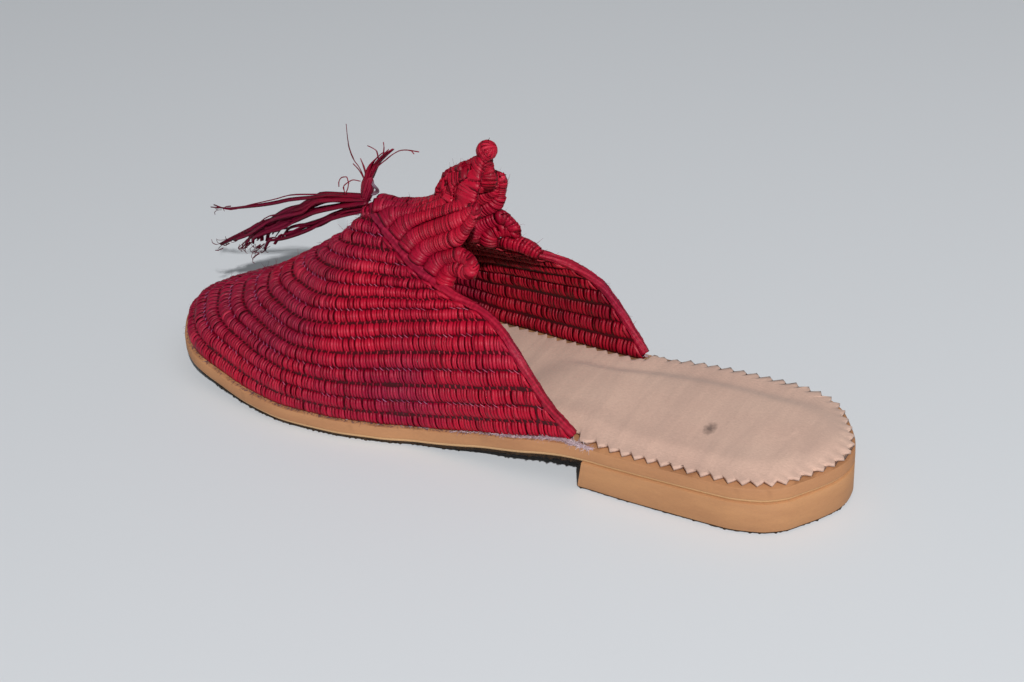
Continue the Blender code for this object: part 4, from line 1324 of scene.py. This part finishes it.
for name, way in WAYS.items():
    back, tip = way_point(way, -3), way_point(way, -1)
    ahead = unit(tip - back)
    for number in range(13 if "bundle" in name else 4):
        seed += 1
        start = mix(back, tip, chance.uniform(0.45, 1.0)) + chance.normal(0, 0.8 * MM, 3)
        side = unit(chance.normal(0, 1, 3) * np.array([0.6, 0.5, 1.0]) - ahead * 0.3)
        reach = chance.uniform(2.0, 5.5) * MM * (0.6 if "thin" in name else 1)
        first = start + ahead * reach * 0.55 + side * reach * 0.12
        second = start + ahead * reach * 0.90 + side * reach * 0.42
        curl = second + side * reach * 0.3
        points = np.stack([start - ahead * reach * 0.6, start, first, second, curl])
        tassel_strip(tassel, points, 0.55 * MM, seed, chance, 0.10 * MM, tone=0.3, narrow=0.3)
print(seed - 200, "strips and frayed ends")

# %% The short ends above the knot
TUFT = {
    "wisp": (0.55, (
        (0, 1, 10), (0.5, 3.5, 14.4), (0.5, 5.3, 16.7), (0, 6, 19.7), (0, 6.6, 22.6),
        (-0.5, 6.4, 26.1), (-0.8, 6.2, 30.7),
    )),
    "left stub": (1.2, (
        (0.5, 0.4, 9.5), (1, 1.8, 14.7), (1, 2.8, 17.4),
    )),
    "left blade": (1.0, (
        (-0.5, 0.6, 9.5), (-1, 2.3, 13.7), (-1.2, 4.6, 16.1),
    )),
    "stump front": (3.0, (
        (-0.4, 0, 10), (-1.2, -2.6, 16.7), (-1.5, -5.7, 20.5), (-1.5, -8.1, 22.8),
    )),
    "stump middle": (3.2, (
        (0.3, -0.4, 10), (0.2, -3.2, 16.7), (0.3, -6.6, 20.5), (0.5, -9.4, 23.3),
    )),
    "stump back": (2.8, (
        (0.8, -0.8, 10.5), (1.4, -3.6, 16.3), (1.8, -7.2, 20.3), (2, -10.4, 23.2),
    )),
    "curl over": (0.55, (
        (-1, -6, 19.9), (-1.2, -5.7, 22.8), (-1.4, -4.4, 23.8), (-1.4, -2.2, 24.4),
    )),
    "spike": (0.5, (
        (-1, -8.2, 22.1), (-1, -8.7, 25.3), (-1, -8.6, 26.8),
    )),
    "branch": (0.75, (
        (0.6, -1.2, 10.9), (0.8, -4, 15.5), (1, -7.6, 18.9), (1, -11, 21.9), (1.2, -14.4, 23.9),
        (1.2, -18, 24.5), (1.4, -21.2, 24.5),
    )),
    "twig": (0.3, (
        (1.2, -17, 24.4), (1.2, -18, 24.4), (1, -19.4, 23.5),
    )),
    "big curl": (0.7, (
        (-1, 2.3, 9.6), (-1.4, 4.7, 9.8), (-1.8, 6.9, 8.6), (-2, 9, 6.2), (-2, 8.5, 4.1),
        (-2, 7.1, 6.6), (-2, 6.6, 8.7),
    )),
    "small curl": (0.7, (
        (-1.8, 6.7, 8.1), (-2, 7.3, 10.7), (-2, 9.3, 10.1), (-2, 10.8, 7.7), (-2, 10.9, 6.1),
    )),
}
for number, (width, points) in enumerate(TUFT.values()):
    tassel_strip(
        tassel, PEAK + np.array(points) * MM, width * MM, 300 + number, chance,
        thickness=0.20 * MM, roll=0.15, tone=0.5, narrow=0.45,
    )
print(len(TUFT), "short ends")

# %% The knot, its strips swirled round it from top to bottom
KNOT_STRIPS = 14
KNOT_RADIUS = 1.95 * MM
KNOT_HALF_HEIGHT = 4.7 * MM
height = np.linspace(-1, 1, STRIP_POINTS)
for number in range(KNOT_STRIPS):
    swirl = 2 * pi * number / KNOT_STRIPS + height * 0.55
    radius = KNOT_RADIUS * np.sqrt(1.10 - height ** 2 * 0.80) * chance.uniform(0.94, 1.06)
    outward = np.stack([np.cos(swirl), np.sin(swirl), 0 * swirl], axis=1)
    leaning = np.stack([0 * height, -height * 0.8 * MM, height * KNOT_HALF_HEIGHT], axis=1)
    path = KNOT + outward * radius[:, None] + leaning
    side = unit(np.cross(outward, np.gradient(path, axis=0)))
    wide = (0.75 * MM * np.sqrt(1.1 - height ** 2 * 0.7))[:, None]
    lift = outward * 0.3 * MM
    tones = [0.5 + chance.normal(0, 0.12)]
    tassel.add(path[None], (side * wide)[None], lift[None], tones, seed=400 + number)
tassel_piece = tassel.piece("tassel_strips", RAFFIA_STRIP)
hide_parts("tassel")

# %% [markdown]
# A small loop of greyish thread holds the knot to the peak, and the same greyish mauve fluff shows
# as a rough line where the upper is lasted to the sole, with darker hairs along it as painted shade
# in the crease. Both are bundles of very thin strips.


# %% The loop of thread
def short_hairs(strips, starts, ways, lengths, width, chance, tone, bend=0.5, steps=6):
    """Many short bent hairs at once."""
    count = len(starts)
    share = np.linspace(0, 1, steps)[None, :, None]
    turn = unit(chance.normal(0, 1, (count, 3)))[:, None]
    path = starts[:, None] + lengths[:, None, None] * (ways[:, None] * share + turn * share ** 2 * bend)
    run = unit(np.gradient(path, axis=1))
    side = unit(np.cross(run, turn + 0.01))
    lift = np.cross(side, run)
    wide = width * (1 - 0.6 * share)
    tones = tone + chance.normal(0, 0.2, count)
    strips.add(path, side * wide / 2, lift * wide / 3, tones, seed=count)


THREADS = 7
THREAD_LOOP = KNOT + np.array([0.6, -1.9, 0.4]) * MM
chance = np.random.default_rng(31)
fluff = Strips()
angle = np.linspace(0, 2 * pi, 26)
for number in range(THREADS):
    wobble = chance.normal(0, 0.22 * MM, 3)
    radius = 2.0 * MM + chance.normal(0, 0.15 * MM)
    twist = 0.5 * radius * np.sin(2 * angle)
    ring = np.stack([twist, np.cos(angle) * radius * 0.8, np.sin(angle) * radius * 1.2], axis=1)
    path = THREAD_LOOP + wobble + ring
    run = unit(np.gradient(path, axis=0))
    side = unit(np.cross(run, np.array([1.0, 0.2, 0.1])))
    lift = np.cross(side, run) * 0.30 * MM
    tones = [0.0 + chance.normal(0, 0.08)]
    fluff.add(path[None], (side * 0.40 * MM)[None], lift[None], tones, seed=number)
print(THREADS, "threads in the loop")


# %% The fluff where the upper meets the sole
def lasting_line(places):
    """The wall's foot at shares of the way round, its level outward way and the sole's height."""
    normal = wall_frame(places, 0 * places + 0.01)[1] * OUTWARD * np.array([1, 1, 0])
    return wall(places, 0 * places), unit(normal), sole_top(foot_at(places)[1])


places = np.concatenate([chance.exponential(0.035, 620), 1 - chance.exponential(0.02, 160)])
places = places.clip(0.001, 0.999)
foot, out, height = lasting_line(places)
starts = foot + out * chance.uniform(1.2 * MM, 1.9 * MM, len(foot))[:, None]
starts[:, 2] = height + chance.uniform(0.0, 0.7 * MM, len(foot))
loose = chance.normal(0, 0.7, foot.shape) * np.array([0.5, 1, 0.2])
ways = unit(out * 0.1 + loose + np.array([0, 0, 0.1]))
lengths = chance.uniform(0.8, 2.0, len(foot)) * MM
short_hairs(fluff, starts, ways, lengths, 0.24 * MM, chance, 0.7, 0.3)

# Darker hairs along the whole foot are painted shade: they stand for the shadow in the crease where the
# upper meets the sole.
CREASE_SHADE_HAIRS = 900
foot, out, height = lasting_line(chance.uniform(0.02, 0.98, CREASE_SHADE_HAIRS))
starts = foot + out * chance.uniform(1.3, 1.9, CREASE_SHADE_HAIRS)[:, None] * MM
starts[:, 2] = height + chance.uniform(0.0, 0.5, CREASE_SHADE_HAIRS) * MM
ways = unit(out * 0.15 + chance.normal(0, 0.6, starts.shape) * np.array([1, 1, 0.3]))
lengths = chance.uniform(0.5, 1.5, CREASE_SHADE_HAIRS) * MM
short_hairs(fluff, starts, ways, lengths, 0.22 * MM, chance, -0.25, 0.3)

# A tail of fluff runs on behind the collar, on the inner side of the foot.
TAIL_COUNT = 300
TAIL_LENGTH = 8 * MM
tail_share = chance.uniform(0, 1, TAIL_COUNT)
tail_y = COLLAR_Y - tail_share * TAIL_LENGTH
line = inset_side(-1, 0.3 * MM)
tail_x = np.interp(tail_y, line[:, 1], line[:, 0])
tail_in = chance.uniform(0, 1.9, TAIL_COUNT) * MM * (1 - tail_share * 0.7)
tail_z = sole_top(tail_y) + chance.uniform(0.1, 0.9, TAIL_COUNT) * MM * (1 - tail_share * 0.7)
tail = np.stack([tail_x + tail_in, tail_y, tail_z], axis=1)
ways = unit(chance.normal(0, 1, tail.shape) * np.array([0.4, 1.0, 0.2]))
lengths = chance.uniform(0.8, 2.2, TAIL_COUNT) * MM
short_hairs(fluff, tail, ways, lengths, 0.26 * MM, chance, 0.8, 0.35)
fluff_piece = fluff.piece("lasting_fluff", MAUVE_FLUFF)

# %% [markdown]
# Raffia frays. Single hairs stand out from the tongue, the cords and the rows, and they soften the
# shoe's outline. They start on the rows' crests and leave at a low angle.

# %% Loose hairs on the upper and tongue
HAIR_COUNT = 420
TONGUE_HAIRS = 260
EDGE_HAIRS = 60
hairs = Strips()
around = chance.uniform(0.02, 0.98, HAIR_COUNT)
up = chance.uniform(0.02, 0.97, HAIR_COUNT)
along, normal = wall_frame(around, up)
starts = wall(around, up) + normal * OUTWARD * 1.9 * MM
swept = normal * OUTWARD * 0.55 + along * chance.normal(0, 0.8, (HAIR_COUNT, 1))
ways = unit(swept + chance.normal(0, 0.2, (HAIR_COUNT, 3)))
lengths = chance.uniform(0.8, 2.4, HAIR_COUNT) * MM
short_hairs(hairs, starts, ways, lengths, 0.13 * MM, chance, 0.6)

tongue_points = np.concatenate(tongue_strips.points)
tongue_heart = np.array([0.0, PEAK[1] - 0.7 * TONGUE_REACH, PEAK[2] - 12 * MM])
picked = tongue_points[chance.integers(0, len(tongue_points), TONGUE_HAIRS)]
ways = unit(picked - tongue_heart + chance.normal(0, 0.012, picked.shape))
lengths = chance.uniform(0.8, 3.0, len(picked)) * MM
short_hairs(hairs, picked, ways, lengths, 0.14 * MM, chance, 0.4)

for side in (-1, 1):
    point, along, out, away = edge_frame(chance.uniform(0.05, 0.95, EDGE_HAIRS), side)
    spread = out * chance.normal(0.2, 0.5, (EDGE_HAIRS, 1))
    ways = unit(away * 0.6 + spread + along * chance.normal(0, 0.6, (EDGE_HAIRS, 1)))
    starts = point + away * 2.6 * MM + out * 0.9 * MM
    lengths = chance.uniform(0.7, 2.2, EDGE_HAIRS) * MM
    short_hairs(hairs, starts, ways, lengths, 0.12 * MM, chance, 0.5)
hair_piece = hairs.piece("loose_hairs", RAFFIA_STRIP)

# %% [markdown]
# The sole stack is leather and rubber. Its pieces are the same slabs as in the frame, with more
# steps round the outline, softened corners and a cut edge that wanders a little, because knives and
# wear leave no perfect line. The treads have ragged edges, and the outsole a paler bevel.


# %% A slab with a loop at each level
def side_quads(level, total):
    """Quads from one level's loop up to the next."""
    low = level * total + np.arange(total)
    after = np.roll(low, -1)
    return np.stack([low, after, after + total, low + total], axis=1)


def cap_quads(total):
    """Quads across a loop, between its two sides."""
    index = np.arange(total // 2 - 1)
    return np.stack([index, total - 1 - index, total - 2 - index, index + 1], axis=1)


def weld(piece, distance):
    """Join points that lie closer to each other than distance."""
    modifier = piece.modifiers.new("weld", "WELD")
    modifier.merge_threshold = distance


def slab(name, levels, materials, level_material, node):
    """A closed slab from loops of equal count, each a set of points, from bottom to top."""
    total = len(levels[0])
    faces = [side_quads(number, total) for number in range(len(levels) - 1)]
    under = cap_quads(total)
    faces += [under, under[:, ::-1] + (len(levels) - 1) * total]
    slots = np.repeat(level_material, total).tolist() + [0] * (2 * len(under))
    piece = make_piece(name, np.concatenate(levels), np.concatenate(faces), materials)
    piece.data.polygons.foreach_set("material_index", slots)
    weld(piece, 0.02 * MM)
    piece.data.set_sharp_from_angle(angle=radians(50))
    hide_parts(node)


def level(loop, height, lift=0.0):
    """A loop raised to a height that depends on y."""
    return np.column_stack([loop, height(loop[:, 1]) + lift])


def soften_loop(values, times):
    """The same as soften, for values or points round a closed loop."""
    for _ in range(times):
        values = (np.roll(values, 1, axis=0) + 2 * values + np.roll(values, -1, axis=0)) / 4
    return values


def wander(count, size, seed, smooth=2):
    """A closed run of small chance offsets."""
    return soften_loop(np.random.default_rng(seed).normal(0, size, count), smooth)


def ragged(loop, amount):
    """Move a loop's points along their own outward way."""
    along = unit(np.roll(loop, -1, axis=0) - np.roll(loop, 1, axis=0))
    return loop + np.stack([-along[:, 1], along[:, 0]], axis=1) * amount[:, None]


# %% The outsole, the heel block and the treads
FINE = 170
rim_loop = rim(0.0, FINE)
total = len(rim_loop)
slab(
    "outsole_edge",
    [
        level(rim(SOLE_BEVEL_INSET + 0.2 * MM, FINE), sole_under),
        level(rim(SOLE_BEVEL_INSET, FINE), sole_under, 0.15 * MM),
        level(rim_loop, sole_under, SOLE_BEVEL_HEIGHT),
        level(rim_loop, sole_under, SOLE_BEVEL_HEIGHT + 0.4 * MM),
        level(ragged(rim_loop, wander(total, 0.10 * MM, 3)), sole_top, -0.35 * MM),
        level(ragged(rim(0.3 * MM, FINE), wander(total, 0.12 * MM, 4)), sole_top),
    ],
    [SOLE_EDGE, SOLE_BEVEL], [1, 1, 0, 0, 0], "outsole",
)
BREAST_LEAN = 1.5 * MM
TREAD_LAP = 0.6 * MM


def flat_at(height):
    """A height that is the same at every y."""
    return lambda y: 0 * y + height


def heel_rim(inset, y):
    """The outline behind y."""
    return rim(inset, FINE // 2, y, "back")


slab(
    "heel_block_side",
    [
        level(heel_rim(0.3 * MM, BREAST_Y + BREAST_LEAN), flat_at(TREAD_THICKNESS - TREAD_LAP)),
        level(heel_rim(0.0, BREAST_Y + BREAST_LEAN), flat_at(TREAD_THICKNESS), 0.4 * MM),
        level(heel_rim(0.0, BREAST_Y), sole_under, -0.25 * MM),
        level(heel_rim(0.25 * MM, BREAST_Y), sole_under, -0.02 * MM),
    ],
    [HEEL_SIDE], [0, 0, 0], "heel_block",
)


def tread(name, loop, under, over, node, seed):
    """A thin rubber slab with a ragged edge, which is worse near the heel's breast."""
    near_breast = np.exp(-((loop[:, 1] - BREAST_Y) / (16 * MM)) ** 2) * (loop[:, 1] > BREAST_Y)
    frayed = 1 + 2.2 * near_breast

    def threads(turn):
        tufts = wander(len(loop), 1.0, seed + turn, 0) ** 2 * 0.14
        return np.minimum(tufts, 0.65) * MM * frayed

    edge = ragged(loop, threads(0) - 0.30 * MM)
    lower = ragged(loop, threads(1) - 0.50 * MM)
    levels = [level(lower, under), level(edge, under, 0.5 * MM), level(edge, over)]
    slab(name, levels, [TREAD_RUBBER], [0, 0], node)


tread(
    "tread_forefoot", rim(1.5 * MM, 330, BREAST_Y + FIT_GAP, "front"),
    lambda y: sole_under(y) - TREAD_THICKNESS, lambda y: sole_under(y) + 0.02 * MM, "tread", 51,
)
tread(
    "tread_heel", rim(0.45 * MM, 130, BREAST_Y + 1.0 * MM, "back"),
    flat_at(0), flat_at(TREAD_THICKNESS - TREAD_LAP), "heel_tread", 61,
)

# %% [markdown]
# The insole is suede over a thin foam pad. Its rim is pinked, cut in a zigzag that keeps it from
# fraying, and the pad swells softly inside a flat border. Loops of the same outline, moved inward
# and lifted, make the border, the slope and the crown, and cross lines dome the middle.

# %% The padded insole
INSOLE_THICKNESS = 1.6 * MM
PAD_RISE = 2.0 * MM
PAD_BORDERS = (2.5 * MM, 9 * MM)
PAD_SLOPE = 8 * MM
PAD_FRONT = (72 * MM, 88 * MM)
PINKING_PITCH = 4.8 * MM
PINKING_DEPTH = 2.4 * MM
TOOTH_STEPS = 4


def insole_inset(y):
    """How far the insole lies in from the sole's edge: clear of the upper in front of the collar."""
    bare = mix(0.4 * MM, 1.9 * MM, ease(y, COLLAR_Y - 22 * MM, COLLAR_Y - 4 * MM))
    inside = upper_inset(y) + WALL + 1.0 * MM
    return mix(bare, inside, ease(y, COLLAR_Y - 3.3 * MM, COLLAR_Y - 2.0 * MM))


rim_length = np.linalg.norm(np.diff(SIDES[-1], axis=0), axis=1).sum()
TEETH = int(round(rim_length / PINKING_PITCH))
INSOLE_STEPS = TEETH * TOOTH_STEPS
tooth = np.abs((np.arange(INSOLE_STEPS + 1) / TOOTH_STEPS * 2) % 2 - 1)
tooth = 1 - np.concatenate([tooth, tooth[::-1]])


def insole_loop(extra):
    """The insole's outline moved inward, smoother the farther in it lies."""
    loop = rim(lambda y: insole_inset(y) + extra, INSOLE_STEPS)
    return soften_loop(loop, int(extra / MM * 8))


def insole_top(y):
    """Height of the insole's flat border."""
    return sole_top(y) + FIT_GAP + INSOLE_THICKNESS


def pad_height(points, inset):
    """The heel pad's swell: a wide border on the outer side, and a round front end at the arch."""
    outer = ease(points[:, 0], -22 * MM, 18 * MM)
    border = mix(*PAD_BORDERS, outer) * ease(points[:, 1], -34 * MM, 0.0)
    front = 1 - ease(points[:, 1] + 0.25 * np.abs(points[:, 0] + 6 * MM), *PAD_FRONT)
    return PAD_RISE * ease(inset, border, border + PAD_SLOPE) * front


SLOPE_INSETS = np.array([4.0, 6.0, 8.0, 9.5, 11.0, 12.5, 14.0, 15.5, 17.0]) * MM
CROWN_RISE = 0.5 * MM
CROSS_STEPS = 12
rim_points = insole_loop(0.0)
uncut = 1 - ease(np.abs(rim_points[:, 1] - COLLAR_Y + 2.6 * MM), 1.6 * MM, 3.4 * MM)
pinked = ragged(rim_points, -PINKING_DEPTH * tooth * (1 - uncut))
edge_curl = np.random.default_rng(8).normal(0, 0.12 * MM, len(pinked))
within = mix(pinked, insole_loop(PINKING_DEPTH + 1 * MM), 0.25)
insole_levels = [
    level(pinked, sole_top, FIT_GAP + 0.5 * MM),
    level(pinked, insole_top, edge_curl - 0.15 * MM),
    level(within, insole_top, edge_curl * 0.5),
]
for inset in SLOPE_INSETS:
    loop = insole_loop(inset)
    insole_levels.append(level(loop, insole_top, pad_height(loop, inset)))
total = len(pinked)
half = total // 2
left, right = insole_levels[-1][:half], insole_levels[-1][half:][::-1]
arch = np.sin(pi * np.linspace(0, 1, half)) ** 0.5
grid = []
for share in np.arange(CROSS_STEPS + 1) / CROSS_STEPS:
    line = mix(left, right, share)
    line[:, 2] = insole_top(line[:, 1]) + pad_height(line, SLOPE_INSETS[-1])
    line[:, 2] += CROWN_RISE * 4 * share * (1 - share) * arch
    grid.append(line)
index = np.arange((CROSS_STEPS + 1) * half).reshape(CROSS_STEPS + 1, half)
index += len(insole_levels) * total
crown = np.stack([index[:-1, :-1], index[:-1, 1:], index[1:, 1:], index[1:, :-1]], axis=-1)
faces = [side_quads(number, total) for number in range(len(insole_levels) - 1)]
faces += [crown.reshape(-1, 4), cap_quads(total)]
INSOLE_SUEDE = leather(
    "insole_suede", (0.55, 0.355, 0.280), (0.66, 0.455, 0.355), 14, 1700, (1.0, 0.55, 1.0), 0.5,
    Sheen_Weight=0.10, Sheen_Roughness=0.6, Specular_IOR_Level=0.15,
)
insole_points = np.concatenate([*insole_levels, *grid])
insole_piece = make_piece("insole_pad", insole_points, np.concatenate(faces), [INSOLE_SUEDE])
weld(insole_piece, 0.03 * MM)
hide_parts("insole")

# %% [markdown]
# The suede is not one colour: the pad has broad cloudy patches, faint creases run across it and
# darken in their grooves as painted shade, and a small dark smudge sits near the heel. Each is a
# mask over the surface that darkens the mottle.

# %% Creases and a smudge on the suede
SMUDGE = (-9.4 * MM, 9.7 * MM, 22.3 * MM)
tree = INSOLE_SUEDE.node_tree
shader = tree.nodes["Principled BSDF"]
mottle = next(node for node in tree.nodes if node.type == "GROUP")
place = add_node(tree, "ShaderNodeTexCoord").outputs["Object"]


def vector_math(operation, first, second=(0, 0, 0)):
    """A sum on vectors in the suede's own tree."""
    return add_node(tree, "ShaderNodeVectorMath", {0: first, 1: second}, operation=operation)


away = vector_math("SUBTRACT", place, SMUDGE).outputs[0]
squeeze = vector_math("MULTIPLY", away, (0.75, 1.25, 0.5)).outputs[0]
distance = vector_math("LENGTH", squeeze).outputs["Value"]
rough = scale_range(tree, noise(tree, place, 700.0, 3.0), -1.6 * MM, 1.6 * MM)
smudge = scale_range(tree, add_up(tree, rough, distance), 0.85, 0.0, 0.8 * MM, 3.2 * MM)
across = {"Vector": place, "Scale": (9.0, 60.0, 20.0), "Rotation": (0.0, 0.0, 0.35)}
stretch = add_node(tree, "ShaderNodeMapping", across).outputs[0]
creases = noise(tree, stretch, 2.2, 5.0, Distortion=0.6)
# Painted shade: the suede darkens in the creases' grooves, where the bump is low.
crease_shade = scale_range(tree, creases, 0.22, 0.0, 0.35, 0.62)
colour = blend_colour(tree, crease_shade, mottle.outputs["Color"], (0.33, 0.225, 0.19, 1))
colour = blend_colour(tree, smudge, colour, (0.13, 0.085, 0.07, 1))
tree.links.new(colour, shader.inputs["Base Color"])
relief = {"Strength": 0.25, "Distance": 1.2 * MM, "Height": creases}
bump = add_node(tree, "ShaderNodeBump", {**relief, "Normal": mottle.outputs["Normal"]})
tree.links.new(bump.outputs[0], shader.inputs["Normal"])
print("suede has", len(tree.nodes), "nodes")

# %% [markdown]
# The camera stands low in front of the shoe's inner side, as in the photograph. Its place was
# worked out from the sole's outline and its long lens is a guess. A small flash a little above the
# camera throws the tassel's shadow on the pale floor, and a weak softbox fills the shade.

# %% Camera
CAMERA_PLACE = Vector((-515.67, -208.68, 395.48)) * MM
CAMERA_RIGHT = Vector((0.47768, -0.87757, -0.04119))
CAMERA_UP = Vector((0.47661, 0.21947, 0.85128))
CAMERA_BACK = Vector((-0.73802, -0.42627, 0.52309))
camera_data = bpy.data.cameras.new("camera")
camera_data.sensor_width = 36
camera_data.lens = 70.31
camera_data.clip_start = 0.01
camera_data.clip_end = 20
camera = bpy.data.objects.new("camera", camera_data)
turn = Matrix((CAMERA_RIGHT, CAMERA_UP, CAMERA_BACK)).transposed().to_4x4()
camera.matrix_world = Matrix.Translation(CAMERA_PLACE) @ turn
bpy.context.collection.objects.link(camera)
bpy.context.scene.camera = camera
print("lens", round(camera_data.lens, 1), "mm,", round(CAMERA_PLACE.length, 2), "m from the origin")

# %% Lamps
MIDDLE = Vector((0.0, 92 * MM, 30 * MM))


def lamp(name, way, distance, size, power):
    """A square area lamp that faces the shoe from one way."""
    data = bpy.data.lights.new(name, "AREA")
    data.energy = power
    data.size = size
    thing = bpy.data.objects.new(name, data)
    thing.location = MIDDLE + Vector(way).normalized() * distance
    thing.rotation_euler = (thing.location - MIDDLE).to_track_quat("Z", "Y").to_euler()
    bpy.context.collection.objects.link(thing)
    return thing


lamp("flash", (-0.62, -0.455, 0.638), distance=2.6, size=0.06, power=69)
lamp("softbox", (-0.10, -0.55, 0.9), distance=1.6, size=1.0, power=2)
print(len(bpy.data.lights), "lamps")

# %% Floor and surroundings
FLOOR_HALF = 6.0
corners = [(x * FLOOR_HALF, y * FLOOR_HALF, 0) for x, y in ((-1, -1), (1, -1), (1, 1), (-1, 1))]
floor_mesh = bpy.data.meshes.new("floor")
floor_mesh.from_pydata(corners, [], [(0, 1, 2, 3)])
floor = bpy.data.objects.new("floor", floor_mesh)
floor_finish = bpy.data.materials.new("pale_floor")
floor_finish.use_nodes = True
floor_shader = floor_finish.node_tree.nodes["Principled BSDF"]
floor_shader.inputs["Base Color"].default_value = (0.65, 0.67, 0.695, 1)
floor_shader.inputs["Roughness"].default_value = 0.85
floor_mesh.materials.append(floor_finish)
bpy.context.collection.objects.link(floor)
world = bpy.data.worlds.new("pale_studio")
world.use_nodes = True
background = world.node_tree.nodes["Background"]
background.inputs["Color"].default_value = (0.82, 0.86, 0.90, 1)
background.inputs["Strength"].default_value = 0.22
bpy.context.scene.world = world
bpy.context.scene.view_settings.view_transform = "Standard"
print("floor", 2 * FLOOR_HALF, "m across")
